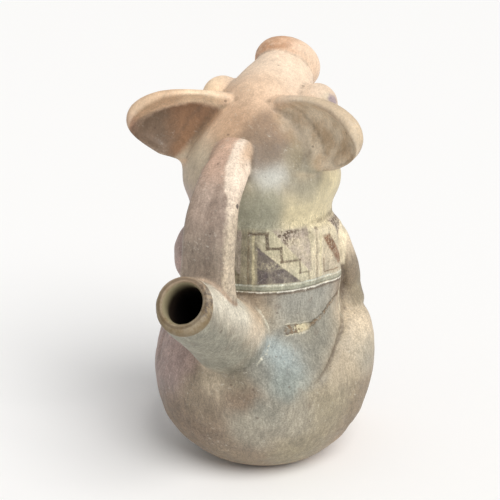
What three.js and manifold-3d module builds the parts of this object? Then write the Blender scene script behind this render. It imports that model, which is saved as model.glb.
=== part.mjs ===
// A hollow clay vessel in the form of a seated animal, with a flared spout and a strap handle at its back.
// The pieces are the ones a potter forms by hand and lutes together with slip: shells, limbs, ears, spout, handle.
// Millimetres, +Z up. The origin is the centre of the flat base. The animal faces -Y and its right side is -X.

import * as THREE from "three";
import { mergeVertices } from "three/addons/utils/BufferGeometryUtils.js";
import Module from "manifold-3d";

const wasm = await Module();
wasm.setup();

// Joints and walls
const SLIP_GAP = 0.3; // between two pieces luted face to face
const WALL = 5.5; // of the belly, shirt and head
const OVERRUN = 15; // how far a cutter passes through what it cuts

// Belly: the round seat of the vessel
const BASE_RADIUS = 29.5;
const BELLY_RADIUS = 65;
const BELLY_HEIGHT = 57; // of its widest line
const BELLY_CLOSES = 43; // above the widest line, where the belly would close without the shirt
const BELLY_POWER = 2.3; // fullness below the widest line: 2 would be an ellipse
const FLOOR = 7; // thickness of the base
const BELLY_BLEND = 16; // softness of the valley between belly and shirt

// Shirt: the column from the belly to the neck
const BELT_RISE = 58.5; // from the belly's widest line to the line under the band, where belly and shirt join
const BELT_RADIUS = 46.7;
const SHOULDER_RISE = 24.5; // from there to the shoulders
const SHOULDER_RADIUS = 44.8;
const NECK_RISE = 16; // from there to the narrowest line, where shirt and head join
const NECK_RADIUS = 39.8;
const NECK_BLEND = 8; // softness of the turn from the neck to the head

// Head: round below and narrowing to the crown
const HEAD_RADIUS = 45.2;
const HEAD_RISE = 18; // from the neck to its widest line
const HEAD_BACK = 2.5; // its centre's distance behind the neck's axis
const HEAD_UNDER = 33; // half height below the widest line
const CROWN_RISE = 49; // from the widest line to the crown
const CROWN_POWER = 1.45; // 2 would be an ellipse, 1 a cone

// Heights of the form's lines, each from the one below it
const BELT_HEIGHT = BELLY_HEIGHT + BELT_RISE;
const SHOULDER_HEIGHT = BELT_HEIGHT + SHOULDER_RISE;
const NECK_HEIGHT = SHOULDER_HEIGHT + NECK_RISE;
const HEAD_HEIGHT = NECK_HEIGHT + HEAD_RISE;
const CROWN_HEIGHT = HEAD_HEIGHT + CROWN_RISE;

// Muzzle and nose: a short cone that points forward and up
const MUZZLE_RISE = 38; // degrees above the horizon
const MUZZLE_LENGTH = 44; // from its root inside the head to the nose
const MUZZLE_ROOT_RADIUS = 30.5;
const MUZZLE_TIP_RADIUS = 18.4;
const MUZZLE_WALL = 6;
const NOSE_RADIUS = 20;
const NOSE_THICKNESS = 15;
const NOSE_FORWARD = 34; // the nose's back face ahead of the neck's axis
const NOSE_LIFT = 1; // the centre of that face above the crown
const NOSTRIL_RADIUS = 3.2;
const NOSTRIL_DEPTH = 6;
const NOSTRIL_SPACING = 15;
const MOUTH_WIDTH = 30;
const MOUTH_GROOVE = 2.4; // diameter of the groove

// Eyes: balls half sunk in the flanks of the muzzle, where it leaves the head
const EYE_RADIUS = 12;
const EYE_BACK = 24.8; // along the muzzle, behind the nose's back face
const EYE_TURN = 9.4; // degrees above the muzzle's side
const EYE_STAND = 3; // its centre outside the muzzle's surface

// Ears: dished lobes that stand out to the sides
const EAR_REACH = 74; // from the middle of the head to the tip
const EAR_DROP = 1; // the upper edge below the crown
const EAR_HEIGHT = 41; // from the upper to the lower edge
const EAR_BACK = 19.5; // the middle of the ear's distance behind the neck's axis
const EAR_SWEEP = 22; // degrees that the tip turns back
const EAR_THICKNESS = 9.5;
const EAR_DISH = 7; // depth of the hollow in its back face

// Arms: rolls that hang from the shoulders and rest on the knees
const ARM_RADIUS = 12;
const ARM_LIFT = 2; // the shoulder's end above the shoulder's line
const PAW_LIFT = 13.6; // the paw's centre above the knee
const FINGER_GROOVE = 2.4;

// Legs: folded haunches that wrap the belly's sides, with shins and feet in front
const THIGH_TURN = 95; // degrees round from the back
const THIGH_LIFT = 3; // its centre above the belly's widest line
const THIGH_TILT = 32; // degrees that the knee end rises
const THIGH_INSET = 24; // its centre inside the belly's widest radius
const THIGH_OUT = 26; // half size outward
const THIGH_LONG = 48; // half size along the haunch, round the belly
const THIGH_TALL = 30; // half size across the haunch
const THIGH_POWER = 2.8; // 2 would be an ellipse, more is squarer
const SHIN_RADIUS = 11;
const FOOT_HALF_WIDTH = 13;
const FOOT_HALF_LENGTH = 18;
const FOOT_THICKNESS = 17;
const FOOT_SIDE = 20;
const FOOT_INSET = 13; // its centre inside the belly's widest radius

// Spout: a flared tube that leans back and up
const SPOUT_RISE = 34; // degrees above the horizon
const SPOUT_INSET = 15; // the root's centre inside the belly's widest radius
const SPOUT_LIFT = 33; // the root's centre above the belly's widest line
const SPOUT_LENGTH = 71.5;
const SPOUT_ROOT_RADIUS = 21.5;
const SPOUT_MOUTH_RADIUS = 16;
const SPOUT_BORE_RADIUS = 11.8;

// Handle: a strap from the top of the spout to the back of the head
const HANDLE_WIDTH = 25;
const HANDLE_THICKNESS = 13;
const HANDLE_LEAN = 2.1; // its upright behind its foot
const HANDLE_FOOT_SHARE = 0.42; // where it stands on the spout, from root to mouth
const HANDLE_DROP = 30; // its end on the head below the crown

// Facets
const ROUND_SIDES = 36;
const SPOUT_SIDES = 30;
const BORE_SIDES = 24;
const MUZZLE_SIDES = 24;
const EAR_SIDES = 28;
const LUMP_SIDES = 18;
const HAUNCH_SIDES = 28;
const LIMB_SIDES = 18;
const LIMB_STEPS = 12;
const STRAP_SIDES = 20;
const STRAP_STEPS = 16;
const HALVINGS = 30; // of the search for the form's surface

const X_AXIS = new THREE.Vector3(1, 0, 0);
const radians = THREE.MathUtils.degToRad;
const lerp = THREE.MathUtils.lerp;
const point = (x, y, z) => new THREE.Vector3(x, y, z);
const flat = (x, y) => new THREE.Vector2(x, y);

// Solids from surfaces

// One closed solid through rings of points. A ring of one point is a pole, and an open end is closed flat.
function solidThroughRings(rings) {
  const sides = Math.max(...rings.map((ring) => ring.length));
  const positions = [];
  const triangles = [];
  const starts = rings.map((ring) => {
    const start = positions.length / 3;
    ring.forEach((p) => positions.push(p.x, p.y, p.z));
    return start;
  });
  const corner = (ring, side) => starts[ring] + (rings[ring].length === 1 ? 0 : side % sides);
  for (let ring = 0; ring + 1 < rings.length; ring += 1) {
    for (let side = 0; side < sides; side += 1) {
      const [a, b] = [corner(ring, side), corner(ring, side + 1)];
      const [c, d] = [corner(ring + 1, side), corner(ring + 1, side + 1)];
      if (a !== b) triangles.push(a, b, d);
      if (c !== d) triangles.push(a, d, c);
    }
  }
  [0, rings.length - 1].forEach((ring, isEnd) => {
    if (rings[ring].length === 1) return;
    const centre = rings[ring].reduce((sum, p) => sum.add(p), point(0, 0, 0)).divideScalar(sides);
    const hub = positions.length / 3;
    positions.push(centre.x, centre.y, centre.z);
    for (let side = 0; side < sides; side += 1) {
      const [a, b] = [corner(ring, side), corner(ring, side + 1)];
      triangles.push(...(isEnd ? [a, b, hub] : [b, a, hub]));
    }
  });
  const geometry = new THREE.BufferGeometry();
  geometry.setAttribute("position", new THREE.Float32BufferAttribute(positions, 3));
  geometry.setIndex(triangles);
  return solidOf(geometry);
}

// A three.js geometry, moved by a matrix, as a solid that can be joined and cut.
function solidOf(geometry, matrix = new THREE.Matrix4()) {
  const bare = geometry.clone().applyMatrix4(matrix);
  bare.deleteAttribute("normal");
  bare.deleteAttribute("uv");
  const merged = mergeVertices(bare);
  const vertProperties = merged.attributes.position.array;
  const triVerts = new Uint32Array(merged.index.array);
  const solid = new wasm.Manifold(new wasm.Mesh({ numProp: 3, vertProperties, triVerts }));
  if (solid.volume() > 0) return solid;
  const turned = triVerts.slice();
  for (let i = 0; i < turned.length; i += 3) {
    [turned[i + 1], turned[i + 2]] = [triVerts[i + 2], triVerts[i + 1]];
  }
  return new wasm.Manifold(new wasm.Mesh({ numProp: 3, vertProperties, triVerts: turned }));
}

function meshOf(solid, name, material) {
  const { vertProperties, triVerts } = solid.getMesh();
  const geometry = new THREE.BufferGeometry();
  geometry.setAttribute("position", new THREE.BufferAttribute(vertProperties, 3));
  geometry.setIndex(new THREE.BufferAttribute(triVerts, 1));
  geometry.computeVertexNormals();
  const mesh = new THREE.Mesh(geometry, material);
  mesh.name = name;
  return mesh;
}

// The largest body of a cut solid, without the thin flakes that a glancing cut leaves.
function mainBody(solid) {
  return solid.decompose().reduce((best, body) => (body.volume() > best.volume() ? body : best));
}

// A matrix that puts a shape's z along a direction in the plane of symmetry, and its x along the part's x.
function alongDirection(direction, origin) {
  const up = new THREE.Vector3().crossVectors(direction, X_AXIS);
  return new THREE.Matrix4().makeBasis(X_AXIS, up, direction).setPosition(origin);
}

// A round bar between two points.
function bar(from, to, radius, sides = LIMB_SIDES) {
  const reach = new THREE.Vector3().subVectors(to, from);
  const turn = new THREE.Quaternion().setFromUnitVectors(point(0, 1, 0), reach.clone().normalize());
  const middle = from.clone().add(to).divideScalar(2);
  const matrix = new THREE.Matrix4().compose(middle, turn, point(1, 1, 1));
  return solidOf(new THREE.CylinderGeometry(radius, radius, reach.length(), sides), matrix);
}

// A ball of radius 1 whose outline is squared a little when the power is over 2.
function unitLump(power, sides = LUMP_SIDES) {
  const geometry = new THREE.SphereGeometry(1, sides, sides / 2);
  return movePoints(geometry, (p) => {
    const length = ["x", "y", "z"].reduce((sum, axis) => sum + Math.abs(p[axis]) ** power, 0) ** (1 / power);
    return p.divideScalar(length);
  });
}

function movePoints(geometry, move) {
  const place = geometry.attributes.position;
  for (let i = 0; i < place.count; i += 1) {
    place.setXYZ(i, ...move(new THREE.Vector3().fromBufferAttribute(place, i)).toArray());
  }
  return geometry;
}

function roundedLump(centre, halfSizes, power = 2) {
  return solidOf(unitLump(power), new THREE.Matrix4().compose(centre, new THREE.Quaternion(), halfSizes));
}

// The hollow form: belly, shirt, neck and head as one smooth field

// Joins two distances with a fillet of the given size.
function softMin(a, b, size) {
  const share = Math.max(size - Math.abs(a - b), 0) / size;
  return Math.min(a, b) - (share * share * size) / 4;
}

const BASE_SHARE = (1 - (BASE_RADIUS / BELLY_RADIUS) ** BELLY_POWER) ** (1 / BELLY_POWER);
const BELLY_UNDER = BELLY_HEIGHT / BASE_SHARE; // where the belly would close below, without its flat base

function bellyDistance(p) {
  const rise = p.z - BELLY_HEIGHT;
  if (rise < 0) {
    const out = Math.hypot(p.x, p.y) / BELLY_RADIUS;
    const full = (out ** BELLY_POWER + (-rise / BELLY_UNDER) ** BELLY_POWER) ** (1 / BELLY_POWER);
    return (full - 1) * BELLY_RADIUS;
  }
  const half = BELLY_CLOSES;
  const scaled = Math.hypot(p.x / BELLY_RADIUS, p.y / BELLY_RADIUS, rise / half);
  const slope = Math.hypot(p.x / BELLY_RADIUS ** 2, p.y / BELLY_RADIUS ** 2, rise / half ** 2);
  return slope > 0 ? (scaled * (scaled - 1)) / slope : -BELLY_CLOSES;
}

// Heights and radii of the shirt's column, which starts inside the belly and ends inside the head.
const COLUMN = [
  [BELLY_HEIGHT, BELT_RADIUS],
  [BELT_HEIGHT, BELT_RADIUS],
  [SHOULDER_HEIGHT, SHOULDER_RADIUS],
  [NECK_HEIGHT, NECK_RADIUS],
  [HEAD_HEIGHT, NECK_RADIUS],
];

function columnRadius(z) {
  const slopeAt = (i) => {
    if (i === 0 || i === COLUMN.length - 1) return 0;
    return (COLUMN[i + 1][1] - COLUMN[i - 1][1]) / (COLUMN[i + 1][0] - COLUMN[i - 1][0]);
  };
  if (z <= COLUMN[0][0]) return COLUMN[0][1];
  const i = COLUMN.findIndex(([height]) => height >= z) - 1;
  if (i < 0) return COLUMN[COLUMN.length - 1][1];
  const span = COLUMN[i + 1][0] - COLUMN[i][0];
  const t = (z - COLUMN[i][0]) / span;
  const [low, high] = [COLUMN[i][1], COLUMN[i + 1][1]];
  const ease = t * t * (3 - 2 * t);
  const bend = t * (1 - t) * (1 - t) * span * slopeAt(i) - t * t * (1 - t) * span * slopeAt(i + 1);
  return lerp(low, high, ease) + bend;
}

function columnDistance(p) {
  const side = Math.hypot(p.x, p.y) - columnRadius(p.z);
  return Math.max(side, p.z - HEAD_HEIGHT, BELLY_HEIGHT - p.z);
}

const HEAD_CENTRE = point(0, HEAD_BACK, HEAD_HEIGHT);

function headDistance(p) {
  const rise = p.z - HEAD_HEIGHT;
  const half = rise > 0 ? CROWN_HEIGHT - HEAD_HEIGHT : HEAD_UNDER;
  const power = rise > 0 ? CROWN_POWER : 2;
  const out = Math.hypot(p.x, p.y - HEAD_BACK) / HEAD_RADIUS;
  return ((out ** power + (Math.abs(rise) / half) ** power) ** (1 / power) - 1) * half;
}

function formDistance(p) {
  const trunk = softMin(bellyDistance(p), columnDistance(p), BELLY_BLEND);
  return softMin(trunk, headDistance(p), NECK_BLEND);
}

// Where a ray from inside meets the form, grown outward by some millimetres.
function surfaceFrom(origin, direction, grow = 0) {
  let near = 0;
  let far = BELLY_RADIUS + HEAD_RADIUS;
  for (let i = 0; i < HALVINGS; i += 1) {
    const middle = (near + far) / 2;
    const p = direction.clone().multiplyScalar(middle).add(origin);
    if (formDistance(p) < grow) near = middle;
    else far = middle;
  }
  return direction.clone().multiplyScalar(near).add(origin);
}

// A ring of the form, seen from a point inside it at one angle above the horizon.
function formRing(origin, rise, grow) {
  return Array.from({ length: ROUND_SIDES }, (_, side) => {
    const turn = (side / ROUND_SIDES) * 2 * Math.PI;
    const direction = point(Math.cos(turn) * Math.cos(rise), Math.sin(turn) * Math.cos(rise), Math.sin(rise));
    return surfaceFrom(origin, direction, grow);
  });
}

const spread = (from, to, steps) => Array.from({ length: steps + 1 }, (_, i) => lerp(from, to, i / steps));
// Heights that crowd towards the base, where the belly curves most.
const BELLY_LEVELS = spread(0, Math.PI / 2, 6).map((turn) => BELLY_HEIGHT * (1 - Math.cos(turn)));
const VALLEY_LEVELS = spread(BELLY_HEIGHT, BELT_HEIGHT, 8).slice(1);
const SHIRT_LEVELS = spread(BELT_HEIGHT + SLIP_GAP, NECK_HEIGHT, 5);
const NAPE_LEVELS = spread(NECK_HEIGHT + SLIP_GAP, HEAD_HEIGHT, 3);
const CROWN_RISES = spread(0, Math.PI / 2, 7).slice(1, -1);

// A stretch of the form between two levels, as a solid with flat ends.
function formSolid(levels, grow = 0) {
  return solidThroughRings(levels.map((z) => formRing(point(0, 0, z), 0, grow)));
}

function headSolid(grow = 0, lowerEnd = []) {
  const nape = [...lowerEnd, ...NAPE_LEVELS];
  const crown = CROWN_RISES.map((rise) => formRing(HEAD_CENTRE, rise, grow));
  const top = surfaceFrom(HEAD_CENTRE, point(0, 0, 1), grow);
  return solidThroughRings([...nape.map((z) => formRing(point(0, 0, z), 0, grow)), ...crown, [top]]);
}

const FORM_LEVELS = [-OVERRUN, ...BELLY_LEVELS, ...VALLEY_LEVELS, ...SHIRT_LEVELS];
const grownTrunk = formSolid(FORM_LEVELS, SLIP_GAP);
const grownHead = headSolid(SLIP_GAP, [BELT_HEIGHT]);
const grownForm = grownTrunk.add(grownHead);

// The point of the form at a height and an angle round from the back, moved outward.
function onForm(side, turnFromBack, z, out) {
  const turn = radians(turnFromBack);
  const direction = point(side * Math.sin(turn), Math.cos(turn), 0);
  return surfaceFrom(point(0, 0, z), direction).addScaledVector(direction, out);
}

// Spout

const spoutDirection = point(0, Math.cos(radians(SPOUT_RISE)), Math.sin(radians(SPOUT_RISE)));
const spoutRoot = point(0, BELLY_RADIUS - SPOUT_INSET, BELLY_HEIGHT + SPOUT_LIFT);
const onSpout = (distance) => spoutRoot.clone().addScaledVector(spoutDirection, distance);
const SPOUT_LIP = (SPOUT_MOUTH_RADIUS - SPOUT_BORE_RADIUS) / 2; // rounding of the rim
const SPOUT_START = -(SPOUT_ROOT_RADIUS + WALL); // its blank starts inside the belly
// Shares of the length and of the flare from mouth radius to root radius, from root to mouth.
const SPOUT_OUTLINE_SHARES = [
  [0, 1],
  [0.14, 0.84],
  [0.3, 0.6],
  [0.5, 0.36],
  [0.7, 0.16],
  [0.86, 0.05],
];
const SPOUT_FLARE = SPOUT_ROOT_RADIUS - SPOUT_MOUTH_RADIUS;

function spoutBlank(grow = 0) {
  const outline = [flat(0, SPOUT_START), flat(SPOUT_ROOT_RADIUS + grow, SPOUT_START)];
  SPOUT_OUTLINE_SHARES.forEach(([along, flare]) => {
    outline.push(flat(SPOUT_MOUTH_RADIUS + flare * SPOUT_FLARE + grow, along * SPOUT_LENGTH));
  });
  spread(0, Math.PI / 2, 3).forEach((turn) => {
    const radius = SPOUT_MOUTH_RADIUS - SPOUT_LIP + (SPOUT_LIP + grow) * Math.cos(turn);
    outline.push(flat(radius, SPOUT_LENGTH - SPOUT_LIP + (SPOUT_LIP + grow) * Math.sin(turn)));
  });
  outline.push(flat(0, SPOUT_LENGTH + grow));
  return onSpoutAxis(new THREE.LatheGeometry(outline, SPOUT_SIDES));
}

// Turns a lathed shape, whose own axis is y, to the spout's axis.
function onSpoutAxis(geometry) {
  const upright = new THREE.Matrix4().makeRotationX(Math.PI / 2);
  return solidOf(geometry, alongDirection(spoutDirection, spoutRoot).multiply(upright));
}

const boreStart = SPOUT_START - OVERRUN;
function boreCutter() {
  const outline = [
    flat(0, boreStart),
    flat(SPOUT_BORE_RADIUS, boreStart),
    flat(SPOUT_BORE_RADIUS, SPOUT_LENGTH - SPOUT_LIP),
    flat(SPOUT_BORE_RADIUS + SPOUT_LIP / 2, SPOUT_LENGTH),
    flat(SPOUT_BORE_RADIUS + SPOUT_LIP / 2, SPOUT_LENGTH + OVERRUN),
    flat(0, SPOUT_LENGTH + OVERRUN),
  ];
  return onSpoutAxis(new THREE.LatheGeometry(outline, BORE_SIDES));
}

// Shells

// The hollow's stretch for a shell between two levels. It passes the shell's open ends.
function hollow(levels, lowEnd, highEnd) {
  const ends = [...(lowEnd === null ? [] : [lowEnd]), ...levels, ...(highEnd === null ? [] : [highEnd])];
  return formSolid(ends, -WALL);
}

function lowerBody() {
  const inside = [FLOOR, ...BELLY_LEVELS, ...VALLEY_LEVELS].filter((z) => z >= FLOOR);
  return formSolid([...BELLY_LEVELS, ...VALLEY_LEVELS])
    .subtract(hollow(inside, null, BELT_HEIGHT + OVERRUN))
    .subtract(boreCutter());
}

function torso() {
  return formSolid(SHIRT_LEVELS).subtract(hollow(SHIRT_LEVELS, BELT_HEIGHT - OVERRUN, NECK_HEIGHT + OVERRUN));
}

// Muzzle and nose

const noseDirection = point(0, -Math.cos(radians(MUZZLE_RISE)), Math.sin(radians(MUZZLE_RISE)));
const noseCentre = point(0, -NOSE_FORWARD, CROWN_HEIGHT + NOSE_LIFT);
const muzzleUp = new THREE.Vector3().crossVectors(noseDirection, X_AXIS);
const onMuzzle = (distance) => noseCentre.clone().addScaledVector(noseDirection, distance);
// Shares of the length and of the taper from root to tip, and the jaw's depth below the axis in radii.
const MUZZLE_SHARES = [
  [0, 0.72, 1],
  [0.1, 0.34, 1],
  [0.25, 0.18, 1.05],
  [0.5, 0.4, 1.12],
  [0.75, 0.7, 1.16],
  [0.92, 0.94, 1.1],
  [1, 1, 1],
];

function muzzleBlank(grow = 0, tipCut = 0) {
  const rings = MUZZLE_SHARES.map(([along, taper, jaw]) => {
    const centre = onMuzzle(-MUZZLE_LENGTH * (1 - along) - (along === 1 ? SLIP_GAP + tipCut : 0));
    const radius = lerp(MUZZLE_ROOT_RADIUS, MUZZLE_TIP_RADIUS, taper) + grow;
    return Array.from({ length: MUZZLE_SIDES }, (_, side) => {
      const turn = (side / MUZZLE_SIDES) * 2 * Math.PI;
      const height = Math.sin(turn) * radius * (Math.sin(turn) < 0 ? jaw : 1);
      return centre.clone().addScaledVector(X_AXIS, Math.cos(turn) * radius).addScaledVector(muzzleUp, height);
    });
  });
  return solidThroughRings(rings);
}

// The muzzle's radius at a distance behind the nose.
function muzzleRadius(back) {
  const along = 1 - back / MUZZLE_LENGTH;
  const i = Math.max(MUZZLE_SHARES.findIndex(([share]) => share >= along), 1);
  const [low, high] = [MUZZLE_SHARES[i - 1], MUZZLE_SHARES[i]];
  const taper = lerp(low[1], high[1], (along - low[0]) / (high[0] - low[0]));
  return lerp(MUZZLE_ROOT_RADIUS, MUZZLE_TIP_RADIUS, taper);
}

const muzzleHollow = muzzleBlank(-MUZZLE_WALL, MUZZLE_WALL);

function head() {
  const inner = headSolid(-WALL, [BELT_HEIGHT]);
  return headSolid().subtract(inner).subtract(muzzleHollow);
}

const JAW_SHARE = 1.05; // the jaw's depth at the mouth, in tip radii

// The mouth is a groove round the jaw, below and behind the nose.
function mouthCutter() {
  const depth = MUZZLE_TIP_RADIUS * JAW_SHARE;
  const corners = spread(-MOUTH_WIDTH / 2, MOUTH_WIDTH / 2, 4).map((across) => {
    const curve = (across / (depth + MOUTH_GROOVE / 2)) ** 2;
    return onMuzzle(-NOSE_THICKNESS)
      .addScaledVector(X_AXIS, across)
      .addScaledVector(muzzleUp, -depth * Math.sqrt(Math.max(1 - curve, 0)));
  });
  const line = new THREE.CatmullRomCurve3(corners);
  return taperedTube(line, () => MOUTH_GROOVE, LIMB_STEPS, LIMB_SIDES / 2);
}

function muzzle() {
  return mainBody(muzzleBlank().subtract(muzzleHollow).subtract(grownHead).subtract(mouthCutter()));
}

function noseDisc() {
  const rim = NOSE_THICKNESS / 2;
  const outline = [flat(0, 0), flat(MUZZLE_TIP_RADIUS, 0)];
  spread(-Math.PI / 3, Math.PI / 2, 5).forEach((turn) => {
    outline.push(flat(NOSE_RADIUS - rim + rim * Math.cos(turn), rim + rim * Math.sin(turn)));
  });
  outline.push(flat(0, NOSE_THICKNESS));
  const upright = new THREE.Matrix4().makeRotationX(Math.PI / 2);
  const place = alongDirection(noseDirection, noseCentre).multiply(upright);
  const disc = solidOf(new THREE.LatheGeometry(outline, SPOUT_SIDES), place);
  return [-1, 1].reduce((solid, side) => {
    const across = (side * NOSTRIL_SPACING) / 2;
    const from = onMuzzle(NOSE_THICKNESS - NOSTRIL_DEPTH).addScaledVector(X_AXIS, across);
    const to = onMuzzle(NOSE_THICKNESS + OVERRUN).addScaledVector(X_AXIS, across);
    return solid.subtract(bar(from, to, NOSTRIL_RADIUS));
  }, disc);
}

// Limbs

// A round tube along a curve, with a radius at each share of its length and rounded ends.
function taperedTube(curve, radiusAt, steps, sides = LIMB_SIDES) {
  const frames = curve.computeFrenetFrames(steps, false);
  const ringAt = (i, shrink) => {
    const centre = curve.getPointAt(i / steps);
    return Array.from({ length: sides }, (_, side) => {
      const turn = (side / sides) * 2 * Math.PI;
      const radius = radiusAt(i / steps) * shrink;
      return centre
        .clone()
        .addScaledVector(frames.normals[i], Math.cos(turn) * radius)
        .addScaledVector(frames.binormals[i], Math.sin(turn) * radius);
    });
  };
  const cap = (i, way) =>
    spread(Math.PI / 6, Math.PI / 3, 1).map((rise) => {
      const shift = frames.tangents[i].clone().multiplyScalar(way * radiusAt(i / steps) * Math.sin(rise));
      return ringAt(i, Math.cos(rise)).map((p) => p.add(shift));
    });
  const pole = (i, way) => {
    const reach = way * radiusAt(i / steps);
    return [curve.getPointAt(i / steps).addScaledVector(frames.tangents[i], reach)];
  };
  const middle = spread(0, steps, steps).map((i) => ringAt(i, 1));
  const first = cap(0, -1).reverse();
  return solidThroughRings([pole(0, -1), ...first, ...middle, ...cap(steps, 1), pole(steps, 1)]);
}

// Interpolates a column of a table of shares.
function shareAt(table, column, t) {
  const spot = t * (table.length - 1);
  const i = Math.min(Math.floor(spot), table.length - 2);
  return lerp(table[i][column], table[i + 1][column], spot - i);
}

// Degrees round from the back, then shares of the drop from shoulder to paw, of the arm's radius outward,
// and of its thickness.
const ARM_SHARES = [
  [91, 0, -0.95, 0.8],
  [91, 0.105, -0.56, 0.95],
  [91, 0.256, -0.25, 1],
  [91.5, 0.415, -0.04, 1],
  [96, 0.56, 0.08, 1],
  [100, 0.71, 0.15, 1],
  [107, 0.88, 0.16, 1],
  [117, 1, 0.2, 0.97],
  [132, 0.94, 0.3, 0.88],
  [146, 0.9, 0.25, 0.85],
];

const THIGH_HEIGHT = BELLY_HEIGHT + THIGH_LIFT;
const KNEE_HEIGHT = THIGH_HEIGHT + THIGH_LONG * Math.sin(radians(THIGH_TILT));

function arm(side) {
  const places = ARM_SHARES.map(([turn, drop, out]) =>
    onForm(side, turn, lerp(SHOULDER_HEIGHT + ARM_LIFT, KNEE_HEIGHT + PAW_LIFT, drop), out * ARM_RADIUS),
  );
  const curve = new THREE.CatmullRomCurve3(places);
  const roll = taperedTube(curve, (t) => ARM_RADIUS * shareAt(ARM_SHARES, 3, t), LIMB_STEPS);
  const paw = places[places.length - 1];
  const outward = point(paw.x, paw.y, 0).normalize();
  const forward = curve.getTangentAt(1);
  const across = new THREE.Vector3().crossVectors(forward, outward).normalize();
  const grooves = [-1, 1].map((step) => {
    const start = paw
      .clone()
      .addScaledVector(outward, ARM_RADIUS)
      .addScaledVector(across, (step * ARM_RADIUS) / 3);
    const end = start.clone().addScaledVector(forward, ARM_RADIUS).addScaledVector(outward, -ARM_RADIUS / 2);
    return bar(start, end, FINGER_GROOVE / 2, LIMB_SIDES / 2);
  });
  const carved = grooves.reduce((solid, groove) => solid.subtract(groove), roll);
  return mainBody(carved.subtract(grownForm).subtract(leg(side, SLIP_GAP)));
}

// A haunch: a rounded lump bent round the belly, higher at the knee than at the rump.
function haunch(side, grow) {
  const tilt = radians(THIGH_TILT);
  const lump = movePoints(unitLump(THIGH_POWER, HAUNCH_SIDES), (p) => {
    const [along, across] = [p.x * (THIGH_LONG + grow), p.z * (THIGH_TALL + grow)];
    const arc = along * Math.cos(tilt) - across * Math.sin(tilt);
    const turn = radians(THIGH_TURN) + arc / BELLY_RADIUS;
    const radius = BELLY_RADIUS - THIGH_INSET + p.y * (THIGH_OUT + grow);
    const height = THIGH_HEIGHT + along * Math.sin(tilt) + across * Math.cos(tilt);
    return point(side * Math.sin(turn) * radius, Math.cos(turn) * radius, height);
  });
  return solidOf(lump);
}

// Degrees round from the back, then shares of the knee's height, of the shin's radius outward, and thickness.
const SHIN_SHARES = [
  [131, 0.86, -0.4, 1.1],
  [143, 0.64, -0.15, 1.05],
  [151, 0.4, 0, 1],
  [157, 0.2, 0.05, 0.95],
  [159, 0.12, 0.05, 0.95],
];

function leg(side, grow = 0) {
  const places = SHIN_SHARES.map(([round, height, out]) =>
    onForm(side, round, height * KNEE_HEIGHT, out * SHIN_RADIUS),
  );
  const line = new THREE.CatmullRomCurve3(places);
  const shin = taperedTube(line, (t) => SHIN_RADIUS * shareAt(SHIN_SHARES, 3, t) + grow, LIMB_STEPS);
  const whole = haunch(side, grow).add(shin);
  return grow ? whole : mainBody(whole.subtract(grownForm).subtract(foot(side, SLIP_GAP)).subtract(ground()));
}

// Everything below the floor, which cuts the soles flat.
function ground() {
  const size = 4 * BELLY_RADIUS;
  const place = new THREE.Matrix4().makeTranslation(0, 0, -size / 2);
  return solidOf(new THREE.BoxGeometry(size, size, size), place);
}

const FOOT_SUNK_SHARE = 1 / 3; // of the foot's thickness, from the floor to the lump's centre

function foot(side, grow = 0) {
  const forward = BELLY_RADIUS - FOOT_INSET;
  const middle = FOOT_THICKNESS * FOOT_SUNK_SHARE;
  const halfSizes = point(FOOT_HALF_WIDTH, FOOT_HALF_LENGTH, FOOT_THICKNESS - middle).addScalar(grow);
  const centre = point(side * FOOT_SIDE, -forward, middle);
  const lump = roundedLump(centre, halfSizes, THIGH_POWER);
  if (grow) return lump;
  const grooves = [-1, 1].map((step) => {
    const x = side * FOOT_SIDE + (step * FOOT_HALF_WIDTH) / 3;
    const tip = -forward - FOOT_HALF_LENGTH;
    const top = point(x, tip + FOOT_HALF_LENGTH / 2, FOOT_THICKNESS - FINGER_GROOVE / 2);
    return bar(top, point(x, tip, 0), FINGER_GROOVE / 2, LIMB_SIDES / 2);
  });
  const carved = grooves.reduce((solid, groove) => solid.subtract(groove), lump);
  return mainBody(carved.subtract(grownForm).subtract(ground()));
}

// Eyes and ears

const grownMuzzle = muzzleBlank(SLIP_GAP);

function eyeBall(side, grow = 0) {
  const radius = EYE_RADIUS + grow;
  const out = muzzleRadius(EYE_BACK) + EYE_STAND;
  const centre = onMuzzle(-EYE_BACK)
    .addScaledVector(X_AXIS, side * out * Math.cos(radians(EYE_TURN)))
    .addScaledVector(muzzleUp, out * Math.sin(radians(EYE_TURN)));
  return roundedLump(centre, point(radius, radius, radius));
}

function eye(side) {
  return mainBody(eyeBall(side).subtract(grownHead).subtract(grownMuzzle));
}

// The ear's outline: shares of its reach from the middle of the head, and of its height below the upper edge.
const EAR_OUTLINE_SHARES = [
  [0.25, 0.05],
  [0.41, 0.02],
  [0.56, 0],
  [0.72, 0.02],
  [0.86, 0.115],
  [0.96, 0.25],
  [1, 0.42],
  [0.985, 0.56],
  [0.92, 0.71],
  [0.8, 0.865],
  [0.635, 1],
  [0.44, 0.95],
  [0.22, 0.7],
  [0.12, 0.4],
  [0.14, 0.15],
];
// Shares of the way from the ear's middle to its edge, with the half thickness and the dish there.
const EAR_PROFILE_SHARES = [
  [0.3, 1, 0.94],
  [0.6, 1, 0.68],
  [0.78, 1, 0.34],
  [0.9, 0.94, 0.06],
  [0.975, 0.6, 0],
];

const EAR_FORE = (EAR_REACH * Math.sin(radians(EAR_SWEEP))) / 2; // its root ahead of its middle

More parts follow.
